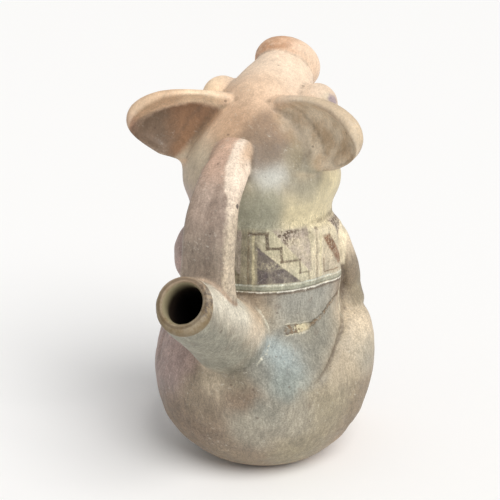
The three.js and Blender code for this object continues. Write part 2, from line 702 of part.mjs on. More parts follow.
function ear(side) {
  const outline = new THREE.CatmullRomCurve3(
    EAR_OUTLINE_SHARES.map(([reach, drop]) => point(reach * EAR_REACH, 0, -drop * EAR_HEIGHT)),
    true,
  );
  const edge = Array.from({ length: EAR_SIDES }, (_, i) => outline.getPoint(i / EAR_SIDES));
  const middle = edge.reduce((sum, p) => sum.add(p), point(0, 0, 0)).divideScalar(EAR_SIDES);
  const ring = (share, half, dish, face) =>
    edge.map((p) => {
      const spot = middle.clone().lerp(p, share);
      return spot.setY((face * half * EAR_THICKNESS) / 2 - dish * EAR_DISH);
    });
  const face = (way) => EAR_PROFILE_SHARES.map(([share, half, dish]) => ring(share, half, dish, way));
  const pole = (way) => [middle.clone().setY((way * EAR_THICKNESS) / 2 - EAR_DISH)];
  const rim = ring(1, 0, 0, 1);
  const rings = [pole(1), ...face(1), rim, ...face(-1).reverse(), pole(-1)];
  const place = (p) => {
    const swept = p.clone().applyAxisAngle(point(0, 0, 1), radians(EAR_SWEEP));
    return point(side * swept.x, swept.y + EAR_BACK - EAR_FORE, p.z + CROWN_HEIGHT - EAR_DROP);
  };
  const lobe = solidThroughRings(rings.map((r) => r.map(place)));
  return mainBody(lobe.subtract(grownHead).subtract(grownMuzzle).subtract(eyeBall(side, SLIP_GAP)));
}

// Handle

// Shares of the way from the axis to the strap, and of the rise from spout to nape.
const STRAP_PATH_SHARES = [
  [1.006, 0.2],
  [1.003, 0.36],
  [0.971, 0.52],
  [0.909, 0.68],
  [0.812, 0.8],
  [0.675, 0.91],
  [0.558, 0.965],
];
// Shares of the width and of the thickness, from the spout to the head.
const STRAP_SECTION_SHARES = [
  [1.4, 1.3],
  [1.1, 1.1],
  [1, 1],
  [1, 1],
  [1, 1],
  [1.02, 1.02],
  [1.1, 1.2],
];
const STRAP_POWER = 0.62; // 1 would be an ellipse, less is squarer

function handle() {
  const foot = onSpout(SPOUT_LENGTH * HANDLE_FOOT_SHARE);
  const nape = surfaceFrom(point(0, 0, CROWN_HEIGHT - HANDLE_DROP), point(0, 1, 0));
  const rise = nape.z - foot.z;
  const inward = point(0, nape.y - WALL, nape.z + WALL / 2);
  const stand = foot.y + HANDLE_LEAN;
  const path = STRAP_PATH_SHARES.map(([out, up]) => point(0, out * stand, foot.z + up * rise));
  const curve = new THREE.CatmullRomCurve3([foot, ...path, inward]);
  const rings = spread(0, 1, STRAP_STEPS).map((t) => {
    const centre = curve.getPointAt(t);
    const out = new THREE.Vector3().crossVectors(curve.getTangentAt(t), X_AXIS).negate();
    const half = (HANDLE_WIDTH / 2) * shareAt(STRAP_SECTION_SHARES, 0, t);
    const thick = (HANDLE_THICKNESS / 2) * shareAt(STRAP_SECTION_SHARES, 1, t);
    return Array.from({ length: STRAP_SIDES }, (_, side) => {
      const turn = (side / STRAP_SIDES) * 2 * Math.PI;
      const square = (value) => Math.sign(value) * Math.abs(value) ** STRAP_POWER;
      return centre
        .clone()
        .addScaledVector(X_AXIS, half * square(Math.cos(turn)))
        .addScaledVector(out, thick * square(Math.sin(turn)));
    });
  });
  return mainBody(solidThroughRings(rings).subtract(grownForm).subtract(spoutBlank(SLIP_GAP)));
}

function spout() {
  return mainBody(spoutBlank().subtract(boreCutter()).subtract(grownForm));
}

// Materials: one clay, with the tones of its burnish, smoke clouds and paint

function clay(name, color, roughness) {
  return new THREE.MeshStandardMaterial({ name, color, roughness, metalness: 0 });
}

const warmClay = clay("warm_clay", 0xc6a88c, 0.62);
const greyClay = clay("grey_clay", 0xa39883, 0.6);
const darkClay = clay("dark_clay", 0x8a7158, 0.66);
const creamSlip = clay("cream_slip", 0xb5ad88, 0.6);

// The vessel

const vessel = new THREE.Group();
vessel.name = "zoomorphic_vessel";
vessel.add(
  meshOf(lowerBody(), "lower_body", greyClay),
  meshOf(torso(), "torso", creamSlip),
  meshOf(head(), "head", warmClay),
  meshOf(muzzle(), "muzzle", warmClay),
  meshOf(noseDisc(), "nose_disc", warmClay),
  meshOf(spout(), "spout", greyClay),
  meshOf(handle(), "handle", warmClay),
);
[
  ["left", 1],
  ["right", -1],
].forEach(([hand, side]) => {
  vessel.add(
    meshOf(ear(side), `${hand}_ear`, darkClay),
    meshOf(eye(side), `${hand}_eye`, warmClay),
    meshOf(arm(side), `${hand}_arm`, warmClay),
    meshOf(leg(side), `${hand}_leg`, warmClay),
    meshOf(foot(side), `${hand}_foot`, warmClay),
  );
});

export default vessel;
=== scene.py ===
"""Looks of the vessel in the form of a seated animal.

The CAD pieces are fused into one skin of clay, smoothed as wet fingers leave it, and cut back into one piece
per CAD node. Every piece has the same clay, laid out in the part's own frame, so its tones run on from piece
to piece.
"""

import math

import bpy
import numpy as np
from mathutils import Matrix, Vector
from mathutils.bvhtree import BVHTree


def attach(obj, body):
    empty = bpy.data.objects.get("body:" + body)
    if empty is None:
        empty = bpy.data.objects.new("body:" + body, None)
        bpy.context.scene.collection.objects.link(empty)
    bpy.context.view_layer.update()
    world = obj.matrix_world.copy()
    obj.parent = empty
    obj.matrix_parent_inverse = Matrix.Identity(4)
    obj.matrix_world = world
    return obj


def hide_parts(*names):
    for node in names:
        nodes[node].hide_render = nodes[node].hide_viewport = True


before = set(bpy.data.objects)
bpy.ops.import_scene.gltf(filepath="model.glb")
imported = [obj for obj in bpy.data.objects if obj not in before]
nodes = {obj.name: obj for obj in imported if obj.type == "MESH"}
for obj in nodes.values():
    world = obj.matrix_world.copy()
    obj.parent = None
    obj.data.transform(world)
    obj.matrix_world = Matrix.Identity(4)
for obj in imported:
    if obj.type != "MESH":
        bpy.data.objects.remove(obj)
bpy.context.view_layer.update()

MM = 0.001

# The skin
VOXEL = 1.15 * MM
SLIP = 0.3 * MM  # each CAD piece grows by this, so that the joints between pieces close
SMOOTH_ROUNDS = 34
SMOOTH_STEP = 0.5
UNEVEN = 0.35 * MM  # how far the hand-built surface wanders
UNEVEN_SIZE = 38 * MM  # from bump to bump
UNEVEN_SEED = 3

# The walls are the softest, the joints keep their creases, and grooves and holes stay crisp.
SHELLS = ("lower_body", "torso", "head")
JOINT_REACH = 9 * MM
JOINT_SOFTNESS = 0.22
LIMB_SOFTNESS = 0.5
SOFTNESS = {"nose_disc": 0.15, "muzzle": 0.4, "left_foot": 0.3, "right_foot": 0.3, "spout": 0.2,
            "handle": 0.25}
SOFTNESS_BLEND = 6  # rounds of averaging between soft and firm clay

# The spout's axis
SPOUT_RISE = math.radians(34)
SPOUT_ROOT = (0, 50, 90)
SPOUT_AHEAD = (0, math.cos(SPOUT_RISE), math.sin(SPOUT_RISE))  # outwards along it
SPOUT_ABOVE = (0, -math.sin(SPOUT_RISE), math.cos(SPOUT_RISE))  # across it, upwards
MOUTH_WALL_START = (58, 66)  # along the axis, where the mouth's wall grows thicker below
MOUTH_WALL_EDGE = (17.2, 14.4)  # from the axis: only the wall's inner edge moves

# The ears: each is a plane that sweeps back from the middle of the head, with a dish pressed into its back.
# Reach along the plane, depth behind it and height are in millimetres.
EAR_SWEEP = math.radians(22)
EAR_ROOT = 5.64  # the plane's distance behind the axis, at the middle of the head
EAR_RIM = 4.75  # the rim's back face behind the plane
DISH_REACH = 45.0
DISH_HEIGHT = 201.0
DISH_LONG = 29.5
DISH_TALL = 17.8
DISH_DROOP = 0.17  # the dish's long axis falls this much towards the tip
DISH_DEPTH = 10.5  # below the rim's back face
PRESS_LIMIT = 6.0  # the most that the press moves the clay
LIP_REACH = 29.0  # where the head begins to cover the dish's inner end, for its colour
LIP_HEIGHT = 201.0
HEAD_EDGE = (14, 22)  # the reach where an ear leaves the head, for smoothing its upper part
EAR_LOW = 178
EAR_ROUNDS = 5
EAR_BLEND = 6
PRESS_BLEND = 3

# The muzzle's axis, for the nose's colour
MUZZLE_RISE = math.radians(38)
MUZZLE_AHEAD = (0, -math.cos(MUZZLE_RISE), math.sin(MUZZLE_RISE))

# The strap is wider than the plain CAD strap in its middle, and narrows to its upper end: heights and shares.
STRAP_SPREAD = ((100, 125, 165, 178, 186, 193, 199, 206), (0.0, 0.1, 0.15, 0.13, 0.04, -0.1, -0.25, -0.35))
STRAP_BLEND = 30  # rounds of averaging that blend the strap with the head and the spout
STRAP_PINCH = 3.2 * MM  # at its upper right corner
STRAP_PINCH_REACH = (17, 5)
STRAP_CORNER = (-16, 45, 196)

# Places that a thumb has smoothed: centre, reach and rounds
EAR_HOLLOWS = (((42, 20, 178), 15, 60), ((-42, 20, 178), 15, 60))
STRAP_TOP = ((4, 38, 201), 24, 70)
STRAP_LEFT_CORNER = ((15, 43, 195), 14, 60)

# The arms: the right one sits further round to the front than the left one, which hangs lower.
# A fade is given by where it is 0 and where it is 1.
ARM_SLIDE = 15  # degrees
ARM_SHRINK = 0.025  # the share by which the right one draws in
SLIDE_TURNS = ((40, 80), (155, 108))
SLIDE_HEIGHTS = ((94, 110), (170, 152))
ARM_DROPS = (  # how far down, with the fades outwards and in height
    (6.5 * MM, ((36, 50),), ((92, 118), (166, 142))),
    (4.0 * MM, ((-44, -52),), ((88, 102), (150, 128))),
)
CHEST_RADIUS = 46  # of the chest beside the right arm
CHEST_SWELL = ((94, 106, 118, 150), (2.5, 1.5, 3.5, 0.0))  # heights, and how far it swells out there
CHEST_SWELL_LIMIT = 4
CHEST_TURNS = ((68, 86), (108, 102))
CHEST_START = 60  # degrees
CHEST_HEIGHTS = (90, 150)
CHEST_BLEND = 8

# A crease runs from under each arm along the haunch and fades out on the belly.
HAUNCH_CREASE = ((-49, -6, 97), (-49.5, -0.5, 92.2), (-51.6, 5.6, 86.7), (-53.3, 17.7, 79.8),
                 (-53.1, 27.3, 73.8), (-49.5, 39.1, 66.5), (-42.2, 48.4, 62), (-36, 53, 60))
HAUNCH_CREASE_WIDTH = 2.1
HAUNCH_CREASE_ENDS = (0.25, 0.55)  # the shares of its length where it is full, and where it starts to fade
HAUNCH_CREASE_DEPTHS = ((1, 1.05), (-1, 2.1))  # by side, fainter on the left
# Another runs up between the right arm's back edge and the chest.
ARM_CREASE = ((-45.6, -2, 148), (-47.7, -2, 137), (-49.5, -3.2, 122), (-49.4, -5, 108), (-48.8, -6.5, 99))
ARM_CREASE_WIDTH = 2.6
ARM_CREASE_DEPTH = 1.4
ARM_CREASE_ENDS = (0.15, 0.8)

HOLLOW_ROUNDS = 10  # of averaging, to tell a hollow from its surroundings
SEAM_BLEND = 12
BORDER_BLEND = 4

# The painted band: seven equal panels round the shirt, in degrees from the back and millimetres of height
BAND_LOW = 116.0
BAND_HIGH = 151.0
PANELS = 7
PANEL = 360 / PANELS
PANEL_START = 13.3
SHIRT_RADIUS = 45.0
DEGREE = math.radians(1) * SHIRT_RADIUS  # millimetres round the shirt for a degree

# The camera of the photograph
EYE = Vector((-247.24, 611.94, 345.73)) * MM
PITCH = 18.46
YAW = 0.62
ROLL = -0.42
LENS = 85.18
SENSOR = 36.0

# The light: a pale room and one large soft light from the right of the camera, over a pale floor
AMBIENT = 0.45
SUN = 2.5
SUN_COLOUR = (1, 0.985, 0.96)
SUN_SPREAD = math.radians(40)
SUN_FROM = (-0.6, 0.4, 0.8)
FLOOR_HALF = 12.0
FLOOR_COLOUR = (0.95, 0.95, 0.95, 1)
FLOOR_ROUGHNESS = 0.9


def srgb(red, green, blue):
    """A colour as a picture shows it, 0 to 255, in Blender's linear values."""
    shown = (tone / 255 for tone in (red, green, blue))
    return tuple(((c + 0.055) / 1.055) ** 2.4 if c > 10 / 255 else c / 12.92 for c in shown)


# Mesh tools


def read(items, attribute, width, kind=float):
    """An attribute of a mesh's items as a table of the given width."""
    flat = np.empty(len(items) * width, kind)
    items.foreach_get(attribute, flat)
    return flat.reshape(-1, width)


def welded(points, triangles):
    """The same surface with its doubled corners joined."""
    key = np.round(points / (0.001 * MM)).astype(np.int64)
    _, first, place = np.unique(key, axis=0, return_index=True, return_inverse=True)
    triangles = place.reshape(-1)[triangles]
    whole = (triangles[:, 0] != triangles[:, 1]) & (triangles[:, 1] != triangles[:, 2])
    whole &= triangles[:, 0] != triangles[:, 2]
    return points[first], triangles[whole]


def mesh_from(name, points, faces):
    mesh = bpy.data.meshes.new(name)
    mesh.from_pydata(points.tolist(), [], faces.tolist())
    mesh.update()
    return mesh


def linked(name, data):
    """A new object of the scene."""
    obj = bpy.data.objects.new(name, data)
    bpy.context.scene.collection.objects.link(obj)
    return obj


def corner_normals(points, faces):
    """A normal for each corner, from the faces round it by their size."""
    a, b, c = (points[faces[:, i]] for i in range(3))
    across = np.cross(b - a, c - a)
    if faces.shape[1] == 4:
        d = points[faces[:, 3]]
        across = np.cross(c - a, d - b)
    total = np.zeros_like(points)
    for i in range(faces.shape[1]):
        for axis in range(3):
            total[:, axis] += np.bincount(faces[:, i], weights=across[:, axis], minlength=len(points))
    return total / np.maximum(np.linalg.norm(total, axis=1, keepdims=True), 1e-20)


class Smoother:
    """Averages values over a mesh's edges."""

    def __init__(self, faces, count):
        sides = [faces[:, [i, (i + 1) % faces.shape[1]]] for i in range(faces.shape[1])]
        edges = np.unique(np.sort(np.vstack(sides), axis=1), axis=0)
        self.a, self.b = edges[:, 0], edges[:, 1]
        self.count = count
        self.degree = np.bincount(self.a, minlength=count) + np.bincount(self.b, minlength=count)
        self.degree = np.maximum(self.degree, 1)

    def mean(self, values):
        out = np.bincount(self.a, weights=values[self.b], minlength=self.count)
        out += np.bincount(self.b, weights=values[self.a], minlength=self.count)
        return out / self.degree

    def rounds(self, values, count, step=SMOOTH_STEP, weight=1.0):
        values = values.copy()
        for _ in range(count):
            if values.ndim == 1:
                values += step * weight * (self.mean(values) - values)
            else:
                moved = np.stack([self.mean(values[:, i]) for i in range(values.shape[1])], axis=1)
                values += step * np.reshape(weight, (-1, 1)) * (moved - values)
        return values


def wander(points, size, seed):
    """Smooth noise between about -1 and 1, with bumps of the given size in metres."""
    random = np.random.default_rng(seed)
    total = np.zeros(len(points))
    waves = 14
    for _ in range(waves):
        way = random.normal(size=3)
        way *= 2 * math.pi / (size * random.uniform(0.8, 1.6)) / np.linalg.norm(way)
        total += np.sin(points @ way + random.uniform(0, 2 * math.pi))
    return total / math.sqrt(waves / 2)


# The fused skin

names = sorted(nodes)


def solid(name):
    """The points and triangles of one CAD piece."""
    mesh = nodes[name].data
    mesh.calc_loop_triangles()
    return read(mesh.vertices, "co", 3), read(mesh.loop_triangles, "vertices", 3, int)


def grown(name):
    """One CAD piece, grown a little along its normals."""
    points, triangles = welded(*solid(name))
    return points + corner_normals(points, triangles) * SLIP, triangles


def heap_of(pieces):
    """Several pieces as one list of points and one of triangles."""
    faces, start = [], 0
    for points, triangles in pieces:
        faces.append(triangles + start)
        start += len(points)
    return np.vstack([points for points, _ in pieces]), np.vstack(faces)


def tree_of(pieces):
    points, triangles = heap_of(pieces)
    return BVHTree.FromPolygons(points.tolist(), triangles.tolist())


def remeshed(points, triangles):
    """The union of the heap as one even skin of small squares."""
    source = linked("heap", mesh_from("heap", points, triangles))
    remesh = source.modifiers.new("skin", "REMESH")
    remesh.mode = "VOXEL"
    remesh.voxel_size = VOXEL
    made = source.evaluated_get(bpy.context.evaluated_depsgraph_get()).to_mesh()
    surface = read(made.vertices, "co", 3), read(made.loops, "vertex_index", 1, int).reshape(-1, 4)
    bpy.data.objects.remove(source)
    return surface


def largest_body(points, faces):
    """Leaves out the specks that a joint may close in."""
    label = np.arange(len(points))
    while True:
        low = label[faces].min(axis=1)
        fresh = label.copy()
        for i in range(4):
            np.minimum.at(fresh, faces[:, i], low)
        fresh = fresh[fresh]
        if (fresh == label).all():
            break
        label = fresh
    sizes = np.bincount(label)
    keep = label == np.argmax(sizes)
    place = np.cumsum(keep) - 1
    kept = keep[faces].all(axis=1)
    return points[keep], place[faces[kept]]


def nearest_node(points):
    """For each point, the number of the CAD node whose surface is nearest."""
    solids = [solid(name) for name in names]
    owner_of_triangle = np.repeat(np.arange(len(names)), [len(triangles) for _, triangles in solids])
    tree = tree_of(solids)
    return np.array([owner_of_triangle[tree.find_nearest(p)[2]] for p in points.tolist()])


def joint_distance(points):
    """How far each point of a shell is from the nearest limb, and each of a limb from the nearest shell."""
    shell = np.array([name in SHELLS for name in names])[owner]
    distance = np.empty(len(points))
    for on_shell in (True, False):
        tree = tree_of([solid(name) for name in names if (name in SHELLS) != on_shell])
        for i in np.nonzero(shell == on_shell)[0]:
            near = tree.find_nearest(points[i], JOINT_REACH)[3]
            distance[i] = JOINT_REACH if near is None else near
    return distance


skin, skin_faces = largest_body(*remeshed(*heap_of([grown(name) for name in names])))
owner = nearest_node(skin)
smoothed = Smoother(skin_faces, len(skin)).rounds
softness = np.array([SOFTNESS.get(name, 1.0 if name in SHELLS else LIMB_SOFTNESS) for name in names])[owner]
far = joint_distance(skin) / JOINT_REACH
softness = smoothed(softness * (JOINT_SOFTNESS + (1 - JOINT_SOFTNESS) * far * far), SOFTNESS_BLEND)
raw_points = skin
skin = smoothed(raw_points, SMOOTH_ROUNDS, weight=softness)
normals = corner_normals(skin, skin_faces)
# Smoothing draws the skin in: this puts back what it took from the broad forms, less the grown slip.
taken = ((raw_points - skin) * normals).sum(axis=1)
skin = skin + normals * (smoothed(taken, SMOOTH_ROUNDS) - SLIP / 2)[:, None]
skin = skin + normals * (UNEVEN * wander(skin, UNEVEN_SIZE, UNEVEN_SEED))[:, None]
skin[:, 2] = np.maximum(skin[:, 2], 0.0)


def ramp(values, start, end):
    """A soft rise from 0 at the start to 1 at the end."""
    share = np.clip((values - start) / (end - start), 0, 1)
    return share * share * (3 - 2 * share)


def faded(values, fades, share=1.0):
    """The share times each fade of the values."""
    for fade in fades:
        share = share * ramp(values, *fade)
    return share


def owned(*chosen):
    """1 on the skin of the chosen CAD nodes and 0 elsewhere."""
    return np.isin(owner, [names.index(name) for name in chosen]).astype(float)


def ear_frame(out, y):
    """The reach along an ear's plane and the depth behind it, from the distance out from the middle and y."""
    back = y - EAR_ROOT
    reach = out * math.cos(EAR_SWEEP) + back * math.sin(EAR_SWEEP)
    depth = back * math.cos(EAR_SWEEP) - out * math.sin(EAR_SWEEP)
    return reach, depth


def press_ears(points):
    """Presses a dish into the back of each ear, as a thumb does."""
    for side, name in ((1, "left_ear"), (-1, "right_ear")):
        reach, depth = ear_frame(side * points[:, 0] / MM, points[:, 1] / MM)
        drop = points[:, 2] / MM - DISH_HEIGHT + DISH_DROOP * (reach - DISH_REACH)
        room = np.maximum(1 - ((reach - DISH_REACH) / DISH_LONG) ** 2 - (drop / DISH_TALL) ** 2, 0)
        bottom = EAR_RIM - DISH_DEPTH * np.sqrt(room)
        need = np.clip(depth - bottom, 0, PRESS_LIMIT) * (room > 0) * (depth > -EAR_RIM)
        need *= smoothed(owned(name), PRESS_BLEND) * np.clip(far, 0, 1) * MM
        points = points - need[:, None] * np.array((-side * math.sin(EAR_SWEEP), math.cos(EAR_SWEEP), 0))
    return points


def soften(points, centre, reach, count):
    """Thumbs the clay smooth round a place."""
    near = ramp(np.linalg.norm(points / MM - np.array(centre), axis=1), reach, 0.4 * reach)
    return smoothed(points, count, weight=near)


def round_the_axis(points):
    """Degrees round the vessel's axis, from the back to the right, and height and radius in millimetres."""
    turn = np.degrees(np.arctan2(-points[:, 0], points[:, 1]))
    return turn, points[:, 2] / MM, np.hypot(points[:, 0], points[:, 1]) / MM


skin = press_ears(skin)
near_ear = np.zeros(len(skin))
for side in (1, -1):
    reach, depth = ear_frame(side * skin[:, 0] / MM, skin[:, 1] / MM)
    out = np.clip((reach - HEAD_EDGE[0]) / (HEAD_EDGE[1] - HEAD_EDGE[0]), 0, 1)
    near_ear = np.maximum(near_ear, out * (depth > -1) * (skin[:, 2] / MM > EAR_LOW))
skin = smoothed(skin, EAR_ROUNDS, weight=smoothed(near_ear, EAR_BLEND))

# The hollows under the ears are filled, and the handle's upper end is thumbed onto the head.
for place in (*EAR_HOLLOWS, STRAP_TOP):
    skin = soften(skin, *place)

strap = smoothed(owned("handle"), STRAP_BLEND)
spread = np.interp(skin[:, 2] / MM, *STRAP_SPREAD)
skin[:, 0] += skin[:, 0] * strap * spread

# The strap's upper right corner is pinched in, and its left one thumbed onto the head.
near = ramp(np.linalg.norm(skin / MM - np.array(STRAP_CORNER), axis=1), *STRAP_PINCH_REACH)
skin[:, 0] += STRAP_PINCH * near
skin = soften(skin, *STRAP_LEFT_CORNER)

# The wall of the spout's mouth is thicker below than above.
offset = skin / MM - np.array(SPOUT_ROOT)
along = offset @ np.array(SPOUT_AHEAD)
outward = offset - along[:, None] * np.array(SPOUT_AHEAD)
radius = np.linalg.norm(outward, axis=1)
outward /= np.maximum(radius, 0.01)[:, None]
lower = 1 - outward @ np.array(SPOUT_ABOVE)
inward = ramp(along, *MOUTH_WALL_START) * ramp(radius, *MOUTH_WALL_EDGE) * lower * MM
skin = skin - outward * inward[:, None]

# The arms
turn, height, _ = round_the_axis(skin)
slid = faded(height, SLIDE_HEIGHTS, faded(turn, SLIDE_TURNS))
angle = np.radians(-ARM_SLIDE * slid)
shrink = 1 - ARM_SHRINK * slid
x, y = skin[:, 0].copy(), skin[:, 1].copy()
skin[:, 0] = (x * np.cos(angle) + y * np.sin(angle)) * shrink
skin[:, 1] = (y * np.cos(angle) - x * np.sin(angle)) * shrink
for drop, outwards, heights in ARM_DROPS:
    skin[:, 2] -= drop * faded(height, heights, faded(skin[:, 0] / MM, outwards))

# The chest swells out to meet the right arm's back edge.
turn, height, radius = round_the_axis(skin)
full = CHEST_RADIUS + np.interp(height, *CHEST_SWELL) * ramp(turn, *CHEST_TURNS[0])
swell = np.clip(full - radius, 0, CHEST_SWELL_LIMIT) * ramp(turn, *CHEST_TURNS[1])
beside = (turn > CHEST_START) & (height > CHEST_HEIGHTS[0]) & (height < CHEST_HEIGHTS[1])
swell = smoothed(swell * beside, CHEST_BLEND)
skin[:, :2] *= (1 + swell / np.maximum(radius, 1))[:, None]


def groove(points, line, width, depth, start, fade):
    """Presses a soft valley along a line, with a low swelling below: full from start on, fading from fade."""
    place = points / MM
    best = np.full(len(points), 1e9)
    along = np.zeros(len(points))
    lower = np.zeros(len(points))
    passed = 0.0
    corners = [np.array(corner, float) for corner in line]
    total = sum(np.linalg.norm(b - a) for a, b in zip(corners, corners[1:]))
    for a, b in zip(corners, corners[1:]):
        length = np.linalg.norm(b - a)
        share = np.clip((place - a) @ (b - a) / length ** 2, 0, 1)
        offset = place - (a + share[:, None] * (b - a))
        away = np.linalg.norm(offset, axis=1)
        nearer = away < best
        best = np.where(nearer, away, best)
        along = np.where(nearer, (passed + share * length) / total, along)
        lower = np.where(nearer, -offset[:, 2] / np.maximum(away, 0.01), lower)
        passed += length
    strength = ramp(along, 1.0, fade) * ramp(along, 0.0, start)
    valley = np.exp(-((best / width) ** 2)) * depth
    swelling = np.exp(-(((best - 3 * width) / (1.6 * width)) ** 2)) * 0.5 * depth * lower
    return points - corner_normals(points, skin_faces) * ((valley - swelling) * strength * MM)[:, None]


for side, depth in HAUNCH_CREASE_DEPTHS:
    line = [(-side * x, y, z) for x, y, z in HAUNCH_CREASE]
    skin = groove(skin, line, HAUNCH_CREASE_WIDTH, depth, *HAUNCH_CREASE_ENDS)
skin = groove(skin, ARM_CREASE, ARM_CREASE_WIDTH, ARM_CREASE_DEPTH, *ARM_CREASE_ENDS)
skin[:, 2] = np.maximum(skin[:, 2], 0.0)
normals = corner_normals(skin, skin_faces)


# How much lower each place lies than its surroundings, in millimetres, for painted shade in creases and paler
# raised edges
around_it = smoothed(skin, HOLLOW_ROUNDS)
hollow = smoothed(((around_it - skin) * normals).sum(axis=1) / MM, 1)
seam = smoothed(owned("spout"), SEAM_BLEND)
hollow *= 1 - 2.8 * seam * (1 - seam)  # the joint round the spout gets less painted shade

# How far each place lies inside the strap or the spout: a half at the joint, and 1 well inside
inside = np.maximum(strap, smoothed(owned("spout"), STRAP_BLEND))


def face_owners():
    """The CAD node that each face of the skin belongs to, with ragged borders evened out."""
    votes = np.zeros((len(skin), len(names)))
    votes[np.arange(len(skin)), owner] = 1
    for number in range(len(names)):
        votes[:, number] = smoothed(votes[:, number], BORDER_BLEND)
    return votes[skin_faces].sum(axis=1).argmax(axis=1)


owners = face_owners()


# Materials


def sign(operation, turned=False):
    """The method behind one of Number's signs."""

    def method(self, *others):
        values = (self, *others)
        return self.wires.math(operation, *(values[::-1] if turned else values))

    return method


class Number:
    """A number in a shader, which the signs of arithmetic work on."""

    __add__ = __radd__ = sign("ADD")
    __sub__ = sign("SUBTRACT")
    __rsub__ = sign("SUBTRACT", turned=True)
    __mul__ = __rmul__ = sign("MULTIPLY")
    __truediv__ = sign("DIVIDE")
    __rtruediv__ = sign("DIVIDE", turned=True)
    __pow__ = sign("POWER")
    __abs__ = sign("ABSOLUTE")

    def __init__(self, wires, socket):
        self.wires = wires
        self.socket = socket

    def ease(self, low, high, to_low=0.0, to_high=1.0):
        """Eases from to_low at low to to_high at high."""
        values = self, low, high, to_low, to_high
        node = self.wires.add("ShaderNodeMapRange", *values, interpolation_type="SMOOTHSTEP")
        return Number(self.wires, node.outputs[0])

    def between(self, first, second):
        """A number between two others, by this share."""
        node = self.wires.add("ShaderNodeMix", self, None, first, second)
        return Number(self.wires, node.outputs[0])


class Wires:
    """Adds nodes to a material and wires them up."""

    def __init__(self, name):
        self.material = bpy.data.materials.new(name)
        self.material.use_nodes = True
        self.tree = self.material.node_tree
        self.tree.nodes.clear()
        self.shader = self.add("ShaderNodeBsdfPrincipled")
        out = self.add("ShaderNodeOutputMaterial")
        self.put(self.shader.outputs[0], out.inputs["Surface"])
        self.place = self.scaled(self.add("ShaderNodeTexCoord").outputs["Object"], 1 / MM)
        self.x, self.y, self.z = self.parts(self.place)
        _, self.facing_y, self.facing_z = self.parts(self.add("ShaderNodeNewGeometry").outputs["Normal"])

    def add(self, kind, *values, **settings):
        """A new node with these settings, and with these values at its first inputs."""
        node = self.tree.nodes.new(kind)
        for name, setting in settings.items():
            setattr(node, name, setting)
        for value, socket in zip(values, node.inputs):
            if value is not None:
                self.put(value, socket)
        return node

    def put(self, value, socket):
        """Links a value to a socket, or sets a plain one on the socket itself."""
        if isinstance(value, Number):
            value = value.socket
        if isinstance(value, bpy.types.NodeSocket):
            self.tree.links.new(value, socket)
        else:
            socket.default_value = value

    def parts(self, vector):
        return [Number(self, socket) for socket in self.add("ShaderNodeSeparateXYZ", vector).outputs]

    def math(self, operation, *values):
        return Number(self, self.add("ShaderNodeMath", *values, operation=operation).outputs[0])

    def vector(self, operation, *values):
        node = self.add("ShaderNodeVectorMath", *values, operation=operation)
        if operation in ("DISTANCE", "LENGTH", "DOT_PRODUCT"):
            return Number(self, node.outputs["Value"])
        return node.outputs["Vector"]

    def scaled(self, vector, factor):
        node = self.add("ShaderNodeVectorMath", vector, operation="SCALE")
        self.put(factor, node.inputs["Scale"])
        return node.outputs["Vector"]

    def combine(self, x, y, z):
        return self.add("ShaderNodeCombineXYZ", x, y, z).outputs[0]

    def mix(self, share, first, second):
        """Lays the second colour over the first by its share.

        Colours are sockets, or tones as a picture shows them. They stay vectors, because each change of type
        takes room in the shader's stack.
        """
        first, second = (srgb(*tone) if isinstance(tone, tuple) else tone for tone in (first, second))
        node = self.add("ShaderNodeMix", share, None, None, None, first, second, data_type="VECTOR")
        return node.outputs[1]

    def shade(self, colour, value, amount):
        """Lightens or darkens a colour by a noise whose middle is 0.5."""
        return self.scaled(colour, value.ease(0.25, 0.75, 1 - amount, 1 + amount))

    def around(self):
        """Degrees round the vessel's axis, from the back to the right."""
        return self.math("DEGREES", self.math("ARCTAN2", self.x * -1.0, self.y))

    def along_spout(self):
        """Millimetres from the spout's root, along its axis."""
        return self.vector("DOT_PRODUCT", self.vector("SUBTRACT", self.place, SPOUT_ROOT), SPOUT_AHEAD)

    def distance_to_spout(self):
        """Millimetres from the spout's axis."""
        offset = self.vector("SUBTRACT", self.place, SPOUT_ROOT)
        return self.vector("LENGTH", self.vector("CROSS_PRODUCT", offset, SPOUT_AHEAD))

    def mouth_radius(self):
        """Millimetres from the spout's axis, as they were before the mouth's wall was thickened below."""
        radius = self.distance_to_spout()
        above = self.vector("DOT_PRODUCT", self.vector("SUBTRACT", self.place, SPOUT_ROOT), SPOUT_ABOVE)
        lower = (1.0 - above / radius) * self.along_spout().ease(*MOUTH_WALL_START)
        return radius + lower * radius.ease(*MOUTH_WALL_EDGE)

    def attribute(self, name):
        return Number(self, self.add("ShaderNodeAttribute", attribute_name=name).outputs["Fac"])

    def noise(self, size, detail=3.0, stretch=(1, 1, 1), roughness=0.55, shift=0.0, place=None):
        """Noise from 0 to 1 with lumps of this size in millimetres, drawn out where stretch is over 1."""
        scaled = self.vector("MULTIPLY", place or self.place, tuple(1 / (size * s) for s in stretch))
        node = self.add("ShaderNodeTexNoise")
        self.put(self.vector("ADD", scaled, (shift, shift, shift)), node.inputs["Vector"])
        for value, socket in ((1.0, "Scale"), (detail, "Detail"), (roughness, "Roughness")):
            self.put(value, node.inputs[socket])
        return Number(self, node.outputs["Fac"])

    def specks(self, size, share, shift=0.0):
        """A sprinkle of round specks: 1 inside them, where share says how many cells have one."""
        scaled = self.vector("MULTIPLY", self.place, (1 / size,) * 3)
        node = self.add("ShaderNodeTexVoronoi")
        self.put(self.vector("ADD", scaled, (shift, shift, shift)), node.inputs["Vector"])
        self.put(1.0, node.inputs["Scale"])
        split = self.add("ShaderNodeSeparateColor", node.outputs["Color"])
        chance, radius, _ = (Number(self, socket) for socket in split.outputs)
        inside = (Number(self, node.outputs["Distance"]) - radius * 0.3).ease(0.1, 0.0)
        return self.math("LESS_THAN", chance, share) * inside
